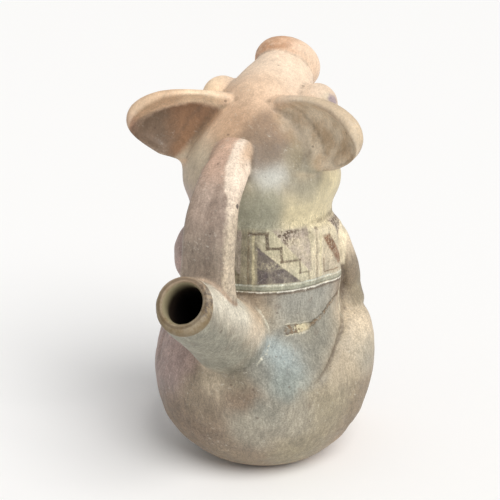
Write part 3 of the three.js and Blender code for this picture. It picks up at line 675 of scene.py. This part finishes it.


# Fire clouds, smoke and handling, with painted highlights and painted shadow among them. Tones as a picture
# shows them:
TONES = {
    "peach": (240, 216, 191),
    "apricot": (224, 192, 162),
    "sienna": (192, 158, 128),
    "buff": (188, 173, 150),
    "straw": (212, 199, 163),
    "chalk": (190, 190, 182),
    "pewter": (151, 149, 139),
    "smoke": (146, 141, 126),
    "lead": (130, 128, 117),
    "blue": (152, 163, 162),
    "olive": (149, 139, 117),
    "stone": (160, 153, 137),
    "bark": (140, 125, 106),
    "umber": (126, 109, 92),
    "rose": (172, 149, 141),
    "mauve": (152, 134, 128),
    "chestnut": (150, 125, 102),
    "sand": (210, 193, 167),
    "slate": (132, 139, 133),
    "moss": (114, 108, 93),
    "sage": (160, 158, 138),
}
# Each cloud's tone, its centre and its reach in millimetres
CLOUDS = [
    # Muzzle and crown
    ("peach", -8, -20, 234, 24),
    ("apricot", -2, 10, 222, 13),
    ("apricot", 28, 18, 216, 16),
    ("sienna", 5, 25, 210, 11),
    ("chestnut", -13, 25, 206, 9),
    # Back and sides of the head
    ("buff", 30, 33, 182, 13),
    ("buff", 33, 22, 196, 8),
    ("rose", 33, 30, 161, 13),
    ("umber", -14, 32, 197, 10),
    ("umber", -19, 37, 190, 6),
    ("olive", -33, 25, 189, 9),
    ("smoke", -36, 24, 176, 9),
    # chalk: a painted highlight over pale scuffs on the back of the head
    ("chalk", -22, 38, 183, 6.5),
    ("straw", -42, 10, 163, 15),
    ("straw", -33, 26, 158, 8),
    ("sage", -15, 42, 160, 11),
    ("mauve", 38, 18, 148, 16),
    # Belly, from its shoulder down
    ("bark", -10, 45, 111, 11),
    ("pewter", -30, 36, 110, 11),
    ("pewter", -41, 22, 107, 10),
    ("smoke", -36, 33, 93, 9),
    ("stone", -21, 43, 101, 6),
    ("lead", -33, 38, 88, 6),
    ("lead", -48, 17, 88, 11),
    ("lead", -45, 33, 79, 10),
    # blue: a bluish fire cloud with a painted highlight on the belly's shoulder
    ("blue", -31, 46, 80, 9),
    ("slate", -35, 51, 69, 8),
    # lead and moss: painted shadow of the spout on the belly
    ("lead", -22, 54, 74, 7),
    ("moss", -8, 61, 69, 7),
    ("buff", -17, 43, 105, 4),
    ("sand", -58, 0, 85, 13),
    ("buff", -57, 24, 67, 11),
    ("stone", -65, 2, 72, 9),
    ("olive", -56, 30, 52, 15),
    ("bark", -62, 8, 42, 13),
    ("stone", -38, 50, 46, 11),
    ("stone", -18, 59, 40, 10),
    ("lead", -25, 58, 50, 8),
    ("umber", -12, 62, 60, 7),
    ("buff", 3, 63, 66, 8),
    ("bark", 13, 62, 52, 11),
    ("rose", 40, 45, 74, 14),
    ("mauve", 47, 44, 56, 13),
    ("rose", 62, 10, 70, 18),
    ("umber", 36, 44, 36, 14),
    ("umber", 14, 58, 30, 12),
    ("bark", -2, 52, 18, 13),
    ("olive", -38, 38, 20, 13),
    ("bark", 42, 20, 14, 18),
    # Arms
    ("sand", -52, -8, 138, 9),
    ("bark", -53, -8, 118, 8),
    ("umber", -53, -9, 108, 8),
    ("olive", -58, -14, 104, 9),
    ("rose", 54, 2, 118, 16),
]
DEFAULT_SHARE = 0.03  # the plain clay's share where no cloud reaches
# How the burnished clay shines, and how deep its texture is in millimetres
SPECULAR = 0.35
ROUGHNESS = (0.44, 0.62)
RELIEF = {"strokes": 0.07, "broad": 0.16, "grain": 0.07, "mottle": 0.2, "pits": -0.14}


def clay(name, tint=None, extra=None, last=None, texture=1, joined=False):
    """Burnished low-fired clay: cloudy tones, burnishing strokes, mottling, scuffs, pits and a fine grain."""
    wires = Wires(name)
    warp = wires.noise(24, 4)
    bend = (warp - 0.5) * 14
    wires.cloudy = wires.vector("ADD", wires.place, wires.combine(bend, 0, bend))
    broad = wires.noise(34, 4, shift=7.3)
    plain_clay = wires.mix(broad.ease(0.35, 0.65), (186, 164, 142), (166, 144, 124))
    colour = wires.scaled(plain_clay, DEFAULT_SHARE)
    total = DEFAULT_SHARE
    for tone, *centre, reach in CLOUDS:
        away = wires.vector("DISTANCE", wires.cloudy, centre) / reach
        share = wires.math("EXPONENT", away * away * -1)
        colour = wires.vector("MULTIPLY_ADD", wires.combine(share, share, share), srgb(*TONES[tone]), colour)
        total = total + share
    colour = untinted = wires.scaled(colour, 1 / total)
    if tint:
        colour = tint(wires, colour)
    if joined:
        colour = wires.mix(wires.attribute("inside").ease(0.5, 0.82), untinted, colour)
    height = 0
    if extra:
        colour, height = extra(wires, colour, height)
    # Mottling, then the strokes of the burnishing stone, broad and fine
    mottle = wires.noise(9, 6, shift=3.1, roughness=0.6)
    colour = wires.shade(colour, mottle, 0.16 * texture)
    broad_strokes = wires.noise(3, 5, stretch=(1, 1, 3.5), shift=17, roughness=0.68, place=wires.cloudy)
    colour = wires.shade(colour, broad_strokes, 0.18 * texture)
    strokes = wires.noise(0.9, 4, stretch=(1, 1, 7), shift=11, roughness=0.65, place=wires.cloudy)
    colour = wires.shade(colour, strokes, 0.16 * texture)
    grain = wires.noise(0.95, 4, roughness=0.7)
    colour = wires.shade(colour, grain, 0.26 * texture)
    # Pale scuffs in broken patches, and a few dark pits
    scuffs = wires.noise(1.8, 8, stretch=(1.6, 1, 1), shift=23, roughness=0.78, place=wires.cloudy)
    where = wires.noise(18, 3, shift=29)
    scuffed = scuffs.ease(0.54, 0.7) * where.ease(0.42, 0.6, 0.1, 0.6)
    colour = wires.mix(scuffed, colour, (218, 212, 198))
    stains = wires.noise(11, 6, shift=37, roughness=0.7)
    colour = wires.mix(stains.ease(0.58, 0.72, 0, 0.3 * texture), colour, (118, 98, 84))
    pits = wires.specks(3.1, 0.035, 5)
    colour = wires.mix(pits * 0.45, colour, (92, 76, 66))
    # Painted shade darkens the hollows, and raised edges are painted paler
    hollow = wires.attribute("hollow")
    ragged = wires.noise(2.2, 5, shift=43, roughness=0.7).ease(0.3, 0.7, 0.55, 1)
    hollow_shade = hollow.ease(0.06, 0.42, 0, 0.8) * ragged
    colour = wires.mix(hollow_shade, colour, (92, 78, 64))
    raised_paler = hollow.ease(-0.12, -0.6, 0, 0.4) * ragged
    colour = wires.mix(raised_paler, colour, (224, 208, 184))
    for value, depth in zip((strokes, broad_strokes, grain, mottle, pits), RELIEF.values()):
        height = height + value * depth
    if last:
        colour = last(wires, colour)
    wires.put(colour, wires.shader.inputs["Base Color"])
    wires.put(mottle.ease(0.3, 0.7, *ROUGHNESS), wires.shader.inputs["Roughness"])
    wires.put(SPECULAR, wires.shader.inputs["Specular IOR Level"])
    bump = wires.add("ShaderNodeBump")
    for value, socket in ((1, "Strength"), (MM, "Distance"), (height, "Height")):
        wires.put(value, bump.inputs[socket])
    wires.put(bump.outputs[0], wires.shader.inputs["Normal"])
    return wires.material


# The painted band, in panel coordinates: degrees from the panel's start and millimetres of height
PAINT = (84, 74, 76)
CREAM = (198, 190, 160)
# The stepped line, stroke by stroke: its ends, its half width and its strength
STEP_LINE = [
    ((-1.6, 119), (0, 149), 0.4, 0.35),
    ((0, 149), (12.6, 149), 1.15, 1),
    ((12.6, 149), (12.2, 140.8), 1.1, 1),
    ((12.2, 140.8), (22.3, 140.8), 0.95, 0.95),
    ((22.3, 140.8), (22.3, 133.3), 0.85, 0.9),
    ((22.3, 133.1), (35.8, 133.1), 0.85, 0.8),
    ((35.8, 133.1), (35.8, 125.7), 0.7, 0.8),
    ((35.8, 125.7), (43.3, 125.6), 0.6, 0.65),
    ((43.3, 125.6), (43.6, 118.6), 0.6, 0.6),
]
# Where panels meet: pale lines beside a thin dark one, each with its place, half width, strength and tone
PANEL_LINES = [
    (-3.7, 0.8, 0.75, (214, 202, 164)),
    (2.6, 0.7, 0.6, (210, 198, 160)),
    (-1.2, 0.35, 0.5, (128, 108, 84)),
]


def belt_line(wires, colour):
    """The chipped white line along the shirt's hem, over a dark one."""
    broken = wires.noise(5, 6, shift=71, roughness=0.7)
    chips = broken.ease(0.42, 0.5, 0.15, 0.95)
    sag = (broken - 0.5) * 2.4
    level = wires.z + sag - BAND_LOW
    under = abs(level + 1.2).ease(1, 0.3, 0, 0.65)
    colour = wires.mix(under, colour, (100, 86, 70))
    line = abs(level).ease(broken.ease(0.45, 0.7, 0.5, 1.1), 0.15)
    return wires.mix(line * chips, colour, (220, 216, 202))


def band(wires, colour, height):
    """The step-fret band and the lines under it."""
    wobble = (wires.noise(7, 4, shift=41) - 0.5) * 1.9
    around = wires.around()
    across = (wires.math("WRAP", around - PANEL_START + 2, PANEL, 0) - 2) * DEGREE + wobble
    level = wires.z + wobble * 0.5
    fine = wires.noise(1.5, 6, shift=61, roughness=0.75)
    wear = wires.noise(5.5, 5, shift=67, roughness=0.65)

    def near(value, middle, half, soft=0.35):
        return abs(value - middle).ease(half + soft, half - soft)

    def box(centre_x, centre_z, half_x, half_z):
        side = abs(across - centre_x) - half_x
        top = abs(level - centre_z) - half_z
        return wires.math("MAXIMUM", side, top)

    def painted(distance, strength=1, soft=0.45):
        return distance.ease(soft, -soft, 0, strength)

    def under_line(at_zero, per_degree):
        """Distance over a slanting line of the panel."""
        return level - (across * (per_degree / DEGREE) + at_zero)

    kept = fine.ease(0.62, 0.48, 0.35, 1)
    in_band = wires.z.ease(BAND_LOW - 0.3, BAND_LOW + 0.3) * level.ease(BAND_HIGH + 2, BAND_HIGH - 3)
    # The cream ground, rubbed, and greyed by painted shade beside the handle
    shade_by_handle = abs(around).ease(30, 17)
    ground = in_band * wear.ease(0.25, 0.75, 0.95, 0.6)
    colour = wires.mix(ground, colour, wires.mix(around.ease(50, 66), CREAM, (212, 200, 172)))
    colour = wires.mix(in_band * shade_by_handle * wear.ease(0.3, 0.6, 0.95, 0.65), colour, (122, 114, 96))
    # A pale wash in the rubbed corner over the steps
    wash = painted(under_line(164.5, -25.5 / 29) * -1, 0.75, 1.2)
    wash = wash * in_band * across.ease(46 * DEGREE, 44 * DEGREE)
    colour = wires.mix(wash * wear.ease(0.35, 0.65, 0.9, 0.4), colour, (182, 167, 156))
    for degrees, half, strength, tone in PANEL_LINES:
        colour = wires.mix(near(across, degrees * DEGREE, half) * in_band * kept * strength, colour, tone)
    # The full triangle
    corner = 5.2 * DEGREE - across
    base = 120.7 - level
    triangle = wires.math("MAXIMUM", wires.math("MAXIMUM", corner, base), under_line(145.6, -21.6 / 32))
    bare = abs(level - 131.5).ease(4, 1, 0, 0.5)
    patchy = wear.ease(0.36, 0.64, 1, 0.68) - bare * fine.ease(0.42, 0.6)
    faded = around.ease(63, 67, 1, 0.35)
    colour = wires.mix(painted(triangle, 0.95, 0.6) * patchy * faded, colour, PAINT)
    # The worn wedge over the steps: paint is left only along its edges
    over = under_line(164.3, -25 / 29) * -1
    right = across - 44.5 * DEGREE
    roof = level - (BAND_HIGH - 1)
    wedge = wires.math("MAXIMUM", wires.math("MAXIMUM", over, right), roof)
    inside = painted(wedge, 1, 0.8)
    speckled = wires.noise(1.9, 2, shift=73, roughness=0.6).ease(0.48, 0.54)
    haze = abs(level - 138).ease(2, 9, 0.25, 1)
    colour = wires.mix(inside * haze * wear.ease(0.4, 0.6, 0.75, 0.3), colour, (160, 146, 134))
    upper = (level - across).ease(113, 127, 0.15, 1)
    colour = wires.mix(inside * upper * speckled * 0.9, colour, (84, 68, 54))
    # The panel by the right arm has lost its steps, and kept a streak of red-brown slip and a corner line
    aside = around.ease(64, 67)
    drop = (143 - level) * 0.82
    streak = abs(around - 74 - drop)
    ends = near(level, 134.5, 9.5, 1.5)
    streak = (streak + wear * 3).ease(6.6, 4.4) * ends
    colour = wires.mix(streak * fine.ease(0.6, 0.46, 0.5, 0.95), colour, (118, 80, 54))
    spots = wires.noise(1.2, 4, shift=79).ease(0.6, 0.66) * around.ease(72, 78) * in_band
    colour = wires.mix(spots * 0.8, colour, (120, 92, 68))
    upright = near(around, 70.6, 0.5, 0.4) * near(level, 127, 4, 0.5)
    foot = near(level, 122.6, 0.4, 0.3) * near(around, 77.5, 7, 0.5)
    colour = wires.mix(wires.math("MAXIMUM", upright, foot) * kept * 0.8, colour, (120, 96, 72))
    # The stepped line
    lost = 1 - aside * 0.85
    for (x0, z0), (x1, z1), half, strength in STEP_LINE:
        half_x, half_z = abs(x1 - x0) / 2 * DEGREE + 0.8 * half, abs(z1 - z0) / 2 + 0.8 * half
        distance = box((x0 + x1) / 2 * DEGREE, (z0 + z1) / 2, half_x, half_z)
        colour = wires.mix(painted(distance, strength, 0.5) * in_band * kept * lost, colour, (98, 84, 68))
    # Under the panels: a pale line, a grey-green strip, and the belt's white line, chipped
    hem = near(level, BAND_LOW + 3.9, 0.55) * wear.ease(0.4, 0.6, 0.9, 0.35)
    colour = wires.mix(hem, colour, (200, 204, 192))
    colour = wires.mix(near(level, BAND_LOW + 1.9, 1.3, 0.5) * 0.7, colour, (140, 144, 130))
    colour = belt_line(wires, colour)
    height = height - near(level, BAND_LOW + 0.2, 0.7, 0.5) * 0.5
    height = height - near(level, BAND_LOW + 3.9, 0.6, 0.4) * 0.2
    return colour, height


def sleeve(wires, colour, height):
    """The right arm is darker above the haunch, and pale like the band where it rises from the chest."""
    radius = wires.vector("LENGTH", wires.combine(wires.x, wires.y, 0))
    right = wires.x.ease(-38, -44)
    rough = (wires.noise(6, 5, shift=101, roughness=0.65) - 0.5) * 8
    level = wires.z + rough
    dark = level.ease(92, 97) * level.ease(132, 120)
    outside = radius.ease(46.5, 50, 0, 0.4)
    colour = wires.mix(dark * right * outside, colour, (124, 111, 90))
    chest = right * (radius + rough * 0.15).ease(50.6, 49.4)
    chest = chest * wires.z.ease(BAND_LOW + 4, BAND_LOW + 7)
    chest = chest * wires.z.ease(BAND_HIGH, BAND_HIGH - 6, 0, 0.85)
    return wires.mix(chest, colour, (228, 214, 184)), height


def belly_marks(wires, colour, height):
    """The belt's line on the belly's side, and the long scar of a lost chip."""
    hem = wires.z.ease(BAND_LOW - 3.5, BAND_LOW - 0.5, 0, 0.5)
    colour = belt_line(wires, wires.mix(hem, colour, (112, 98, 84)))
    around = wires.around()
    rough = (wires.noise(3.5, 5, shift=83, roughness=0.7) - 0.5) * 7
    # The scar runs level, then rises as a worn crack
    rise = around.ease(46, 96) ** 1.4 * 14
    away = wires.z - 94 - rise
    away = abs(away + rough * 0.55)
    wide = around.ease(50, 58, 2.2, 0.9)
    along = (around + rough).ease(35, 39) * around.ease(91, 86)
    scar = along * (away - wide).ease(0.7, -0.4)
    crumbs = wires.noise(2.1, 2, shift=89, roughness=0.6)
    bitten = scar * crumbs.ease(0.58, 0.44, 0.25, 1)
    colour = wires.mix(bitten * 0.8, colour, (114, 90, 62))
    deep = scar * around.ease(58, 50)
    pale = deep * (around * 0.05 + crumbs).ease(2.72, 2.84)
    colour = wires.mix(pale * 0.85, colour, (204, 192, 158))
    rim = abs(away - wide - 0.5).ease(0.7, 0.1)
    rim = rim * around.ease(56, 52) * (along * 0.55)
    colour = wires.mix(rim, colour, (214, 206, 182))
    height = height - scar * 0.6
    # A broken painted highlight runs up the belly's edge beside the right arm
    edge = around - 90 + rough * 0.25
    edge = abs(edge).ease(1.6, 0.5) * wires.z.ease(84, 92)
    edge = edge * crumbs.ease(0.36, 0.5, 0.2, 0.8)
    colour = wires.mix(edge, colour, (212, 204, 180))
    # Slip has flaked from the seam round the spout's root
    seam = wires.distance_to_spout() + rough * 0.4
    flaked = abs(seam - 22.6).ease(0.8, 0.2, 0, 0.8)
    flaked = flaked * wires.x.ease(-12, -19) * wires.z.ease(74, 82)
    broken = wires.noise(7, 6, shift=91, roughness=0.7).ease(0.46, 0.52)
    colour = wires.mix(flaked * broken, colour, (206, 202, 182))
    return colour, height


def ear_tint(wires, colour):
    """Smoke and painted shade darken the dish behind each ear, the left one most; the rims are pale, and the
    left ear's upper rim has painted light.
    """
    reach, depth = ear_frame(abs(wires.x), wires.y)
    away = reach - DISH_REACH
    drop = wires.z - DISH_HEIGHT + away * DISH_DROOP
    left = wires.x.ease(-2, 2)
    long_way = abs(away / left.between(29, 27)) ** 2
    tall = left.between(19.5, drop.ease(-2, 8, 18, 12))
    tall_way = abs(drop / tall) ** 2
    oval = long_way + tall_way
    rough = (wires.noise(9, 5, shift=31, roughness=0.6) - 0.5) * 0.9
    dish = (oval + rough).ease(1.15, 0.7)
    behind = wires.facing_y.ease(0, 0.45) * depth.ease(14, 6)
    past = (reach - LIP_REACH) * 0.73 + (wires.z - LIP_HEIGHT) * 0.68
    dish = dish * behind * past.ease(-3, 3)
    # The left ear's upper rim gets painted light, widened and brightened
    lit_rim_widening = left * wires.z.ease(204, 211, 0, 10)
    rim = oval.ease(0.9, 1.2) * (reach + lit_rim_widening).ease(26, 36)
    rim = rim * depth.ease(15, 7) * wires.z.ease(174, 186)
    low = wires.z.ease(215, 198)
    pale = wires.mix(left, wires.mix(low, (214, 192, 162), (192, 174, 146)), (218, 184, 150))
    lit_upper_rim = reach.ease(50, 36) * (left * wires.z.ease(206, 211))
    pale = wires.mix(lit_upper_rim, pale, (250, 222, 188))
    colour = wires.mix(rim * lit_upper_rim.between(0.8, 0.95), colour, pale)
    olive = wires.mix(wires.noise(10, 4, shift=53).ease(0.35, 0.65), (220, 204, 180), (198, 174, 144))
    outer = (reach + rough * 12).ease(42, 56)
    # The dish's dark brown is smoke and painted shade in the hollow, darkest in the left ear
    smoke = wires.mix(outer, (134, 98, 70), (104, 85, 69))
    tip = reach.ease(64, 71) * (left * wires.z.ease(212, 204))
    colour = wires.mix(tip * 0.6, colour, (150, 112, 98))
    return wires.mix(dish * 0.92, colour, wires.mix(left, olive, smoke))


def head_tint(wires, colour):
    """The ears, the orange nose and the purple mark on the right eye."""
    colour = ear_tint(wires, colour)
    nose = wires.vector("DOT_PRODUCT", wires.place, MUZZLE_AHEAD).ease(165, 168)
    streaks = wires.noise(2.6, 4, stretch=(4, 1, 1), shift=77)
    tone = wires.mix(streaks.ease(0.36, 0.6), (222, 182, 150), (200, 154, 120))
    left = wires.x.ease(-16, -2, 0.2, 0.9)
    colour = wires.mix(nose * 0.7, colour, (242, 216, 190))
    colour = wires.mix(nose * left, colour, tone)
    mark = wires.vector("DISTANCE", wires.cloudy, (-44, -8, 217))
    return wires.mix(mark.ease(8, 5, 0, 0.75), colour, (138, 124, 140))


def handle_tint(wires, colour):
    """The strap is smoked brown behind, with a right side pale from wear and from painted light, warm where
    it meets the head, and painted shade at its foot by the spout.
    """
    streak = wires.noise(5, 4, stretch=(1, 5, 5), shift=19)
    high = wires.mix(streak.ease(0.35, 0.65), (168, 149, 135), (145, 127, 114))
    low = wires.mix(streak.ease(0.35, 0.65), (148, 134, 120), (130, 116, 104))
    brown = wires.mix(wires.z.ease(172, 148), high, low)
    colour = wires.mix(wires.y.ease(46, 52), colour, brown)
    top = wires.z.ease(176, 192)
    colour = wires.mix(top * 0.8, colour, (206, 172, 150))
    ragged = wires.noise(4, 6, stretch=(1, 2, 2), shift=87, roughness=0.75)
    ragged = (ragged - 0.5) * 8
    swing = wires.z.ease(166, 194, 0, 9.5)
    # The right side is pale from wear and from painted light
    lit_pale_side = (wires.x + ragged - swing).ease(-9.5, -12.5)
    bright = wires.mix(wires.z.ease(160, 186), (204, 188, 164), (240, 222, 202))
    worn = wires.noise(2.2, 4, shift=109, roughness=0.7).ease(0.4, 0.55, 0.45, 1)
    lit_pale_side = lit_pale_side * wires.math("MAXIMUM", worn, wires.z.ease(168, 184))
    colour = wires.mix(lit_pale_side * 0.85, colour, bright)
    swing = wires.z.ease(182, 196, 0, 9)
    edge = (wires.x - swing).ease(-13.5, -17) * wires.z.ease(160, 176, 0, 0.8)
    colour = wires.mix(edge, colour, (186, 156, 128))
    left = (wires.x + ragged).ease(7, 12)
    colour = wires.mix(left * 0.4, colour, (170, 150, 134))
    # Painted shade where the strap's foot meets the spout behind its rim
    foot = wires.z.ease(128, 112, 0, 0.7) * wires.x.ease(-12, -4)
    colour = wires.mix(foot, colour, (128, 92, 76))
    mark = wires.vector("DISTANCE", wires.place, (-13, 67.4, 171.8))
    return wires.mix(mark.ease(1.8, 1, 0, 0.85), colour, (58, 50, 48))


def spout_tint(wires, colour):
    """The spout is a grey buff, warmer at its root, with painted light on its upper side and painted greenish
    shade on its underside.
    """
    root = wires.along_spout()
    rough = wires.noise(5, 5, shift=97, roughness=0.65)
    buff = wires.mix(rough.ease(0.35, 0.65), (168, 161, 144), (150, 140, 123))
    # Painted light on the upper side, strongest on the lamp's side, and painted greenish shade underneath
    light = wires.facing_z.ease(-0.3, 0.4) * wires.x.ease(16, -10, 0.35, 1)
    buff = wires.mix(light * 0.9, buff, (220, 214, 197))
    painted_underside_shade = wires.facing_z.ease(0.1, -0.5, 0, 0.75)
    buff = wires.mix(painted_underside_shade, buff, (136, 137, 124))
    colour = wires.mix(root.ease(0, 14, 0.35, 0.92), colour, buff)
    warm = root.ease(28, 10) * wires.z.ease(88, 104, 0, 0.65)
    return wires.mix(warm, colour, (208, 184, 156))


def spout_mouth(wires, colour):
    """A smoked, crumbling rim, and a bore that is pale at its lip and darkens to black inside with painted
    shade.
    """
    root, radius = wires.along_spout(), wires.mouth_radius()
    rough = wires.noise(4, 5, shift=97, roughness=0.65)
    low = wires.z.ease(132, 120, 68.9, 67.4)
    rim = (root - low).ease(-0.5, 0.5)
    limit = wires.x.ease(-5, -12, 24, 17.4)
    rim = rim * (radius - limit).ease(0.5, -0.5)
    rim = rim * rough.ease(0.3, 0.6, 0.95, 0.75)
    brown = wires.mix(wires.z.ease(142, 126), (146, 122, 98), (120, 101, 70))
    burnt = (wires.x + rough * 8).ease(0, -8)
    crumbs = wires.noise(1.8, 2, shift=107, roughness=0.6).ease(0.42, 0.58)
    burnt = burnt * wires.z.ease(122, 130) * crumbs
    colour = wires.mix(rim, colour, wires.mix(burnt, brown, (74, 58, 46)))
    edge = abs(radius - 13.9).ease(1, 0.4)
    colour = wires.mix(edge * root.ease(68.6, 69.5, 0, 0.5), colour, (84, 68, 50))
    # Painted shade darkens the bore from its pale lip to black deep inside
    inside = radius.ease(13.8, 12.9) * root.ease(71, 69.5)
    bore_shade = wires.mix(root.ease(69.5, 60), (150, 140, 112), (46, 36, 28))
    return wires.mix(inside, colour, wires.mix(root.ease(62, 50), bore_shade, (20, 14, 12)))


MATERIALS = {
    "head": clay("clay_head", head_tint, texture=0.55),
    "torso": clay("clay_torso", extra=band),
    "body": clay("clay_body", extra=belly_marks),
    "arm": clay("clay_arm", extra=sleeve),
    "limb": clay("clay_limb"),
    "handle": clay("clay_handle", handle_tint, texture=0.8, joined=True),
    "spout": clay("clay_spout", spout_tint, last=spout_mouth, joined=True),
}


def material_of(name):
    if name in ("torso", "handle", "spout"):
        return MATERIALS[name]
    if name == "lower_body":
        return MATERIALS["body"]
    if name == "right_arm":
        return MATERIALS["arm"]
    return MATERIALS["limb" if name.endswith(("arm", "leg", "foot")) else "head"]


def make_piece(number, name):
    """The part of the skin that belongs to one CAD node."""
    faces = skin_faces[owners == number]
    used, place = np.unique(faces, return_inverse=True)
    mesh = mesh_from(f"{name}_clay", skin[used], place.reshape(faces.shape))
    mesh.attributes.new("hollow", "FLOAT", "POINT").data.foreach_set("value", hollow[used])
    if name in ("handle", "spout"):
        mesh.attributes.new("inside", "FLOAT", "POINT").data.foreach_set("value", inside[used])
    mesh.normals_split_custom_set_from_vertices(normals[used].tolist())
    piece = linked(f"{name}_clay", mesh)
    mesh.materials.append(material_of(name))
    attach(piece, "root")
    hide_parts(name)


for number, name in enumerate(names):
    make_piece(number, name)

# The stage


def floor():
    corners = np.array([(-1, -1, 0), (1, -1, 0), (1, 1, 0), (-1, 1, 0)]) * FLOOR_HALF
    material = bpy.data.materials.new("floor")
    material.use_nodes = True
    shader = material.node_tree.nodes["Principled BSDF"]
    shader.inputs["Base Color"].default_value = FLOOR_COLOUR
    shader.inputs["Roughness"].default_value = FLOOR_ROUGHNESS
    obj = linked("floor", mesh_from("floor", corners, np.array([[0, 1, 2, 3]])))
    obj.data.materials.append(material)


def studio():
    world = bpy.data.worlds.new("studio")
    bpy.context.scene.world = world
    world.use_nodes = True
    background = world.node_tree.nodes["Background"]
    background.inputs["Color"].default_value = (1, 1, 1, 1)
    background.inputs["Strength"].default_value = AMBIENT
    light = bpy.data.lights.new("softbox", "SUN")
    light.angle = SUN_SPREAD
    light.energy = SUN
    light.color = SUN_COLOUR
    obj = linked("softbox", light)
    obj.rotation_euler = Vector(SUN_FROM).to_track_quat("Z", "Y").to_euler()
    bpy.context.scene.view_settings.view_transform = "Standard"


def camera():
    pitch, roll = math.radians(PITCH), math.radians(ROLL)
    heading = math.atan2(-EYE.y, -EYE.x) + math.radians(YAW)
    level = math.cos(pitch)
    ahead = Vector((math.cos(heading) * level, math.sin(heading) * level, -math.sin(pitch)))
    right = Vector((math.sin(heading), -math.cos(heading), 0))
    up = right.cross(ahead)
    right, up = right * math.cos(roll) + up * math.sin(roll), up * math.cos(roll) - right * math.sin(roll)
    data = bpy.data.cameras.new("camera")
    data.lens = LENS
    data.sensor_width = SENSOR
    data.clip_start = 0.01
    obj = linked("camera", data)
    turn = Matrix((right, up, -ahead)).transposed()
    obj.matrix_world = Matrix.Translation(EYE) @ turn.to_4x4()
    bpy.context.scene.camera = obj


floor()
studio()
camera()
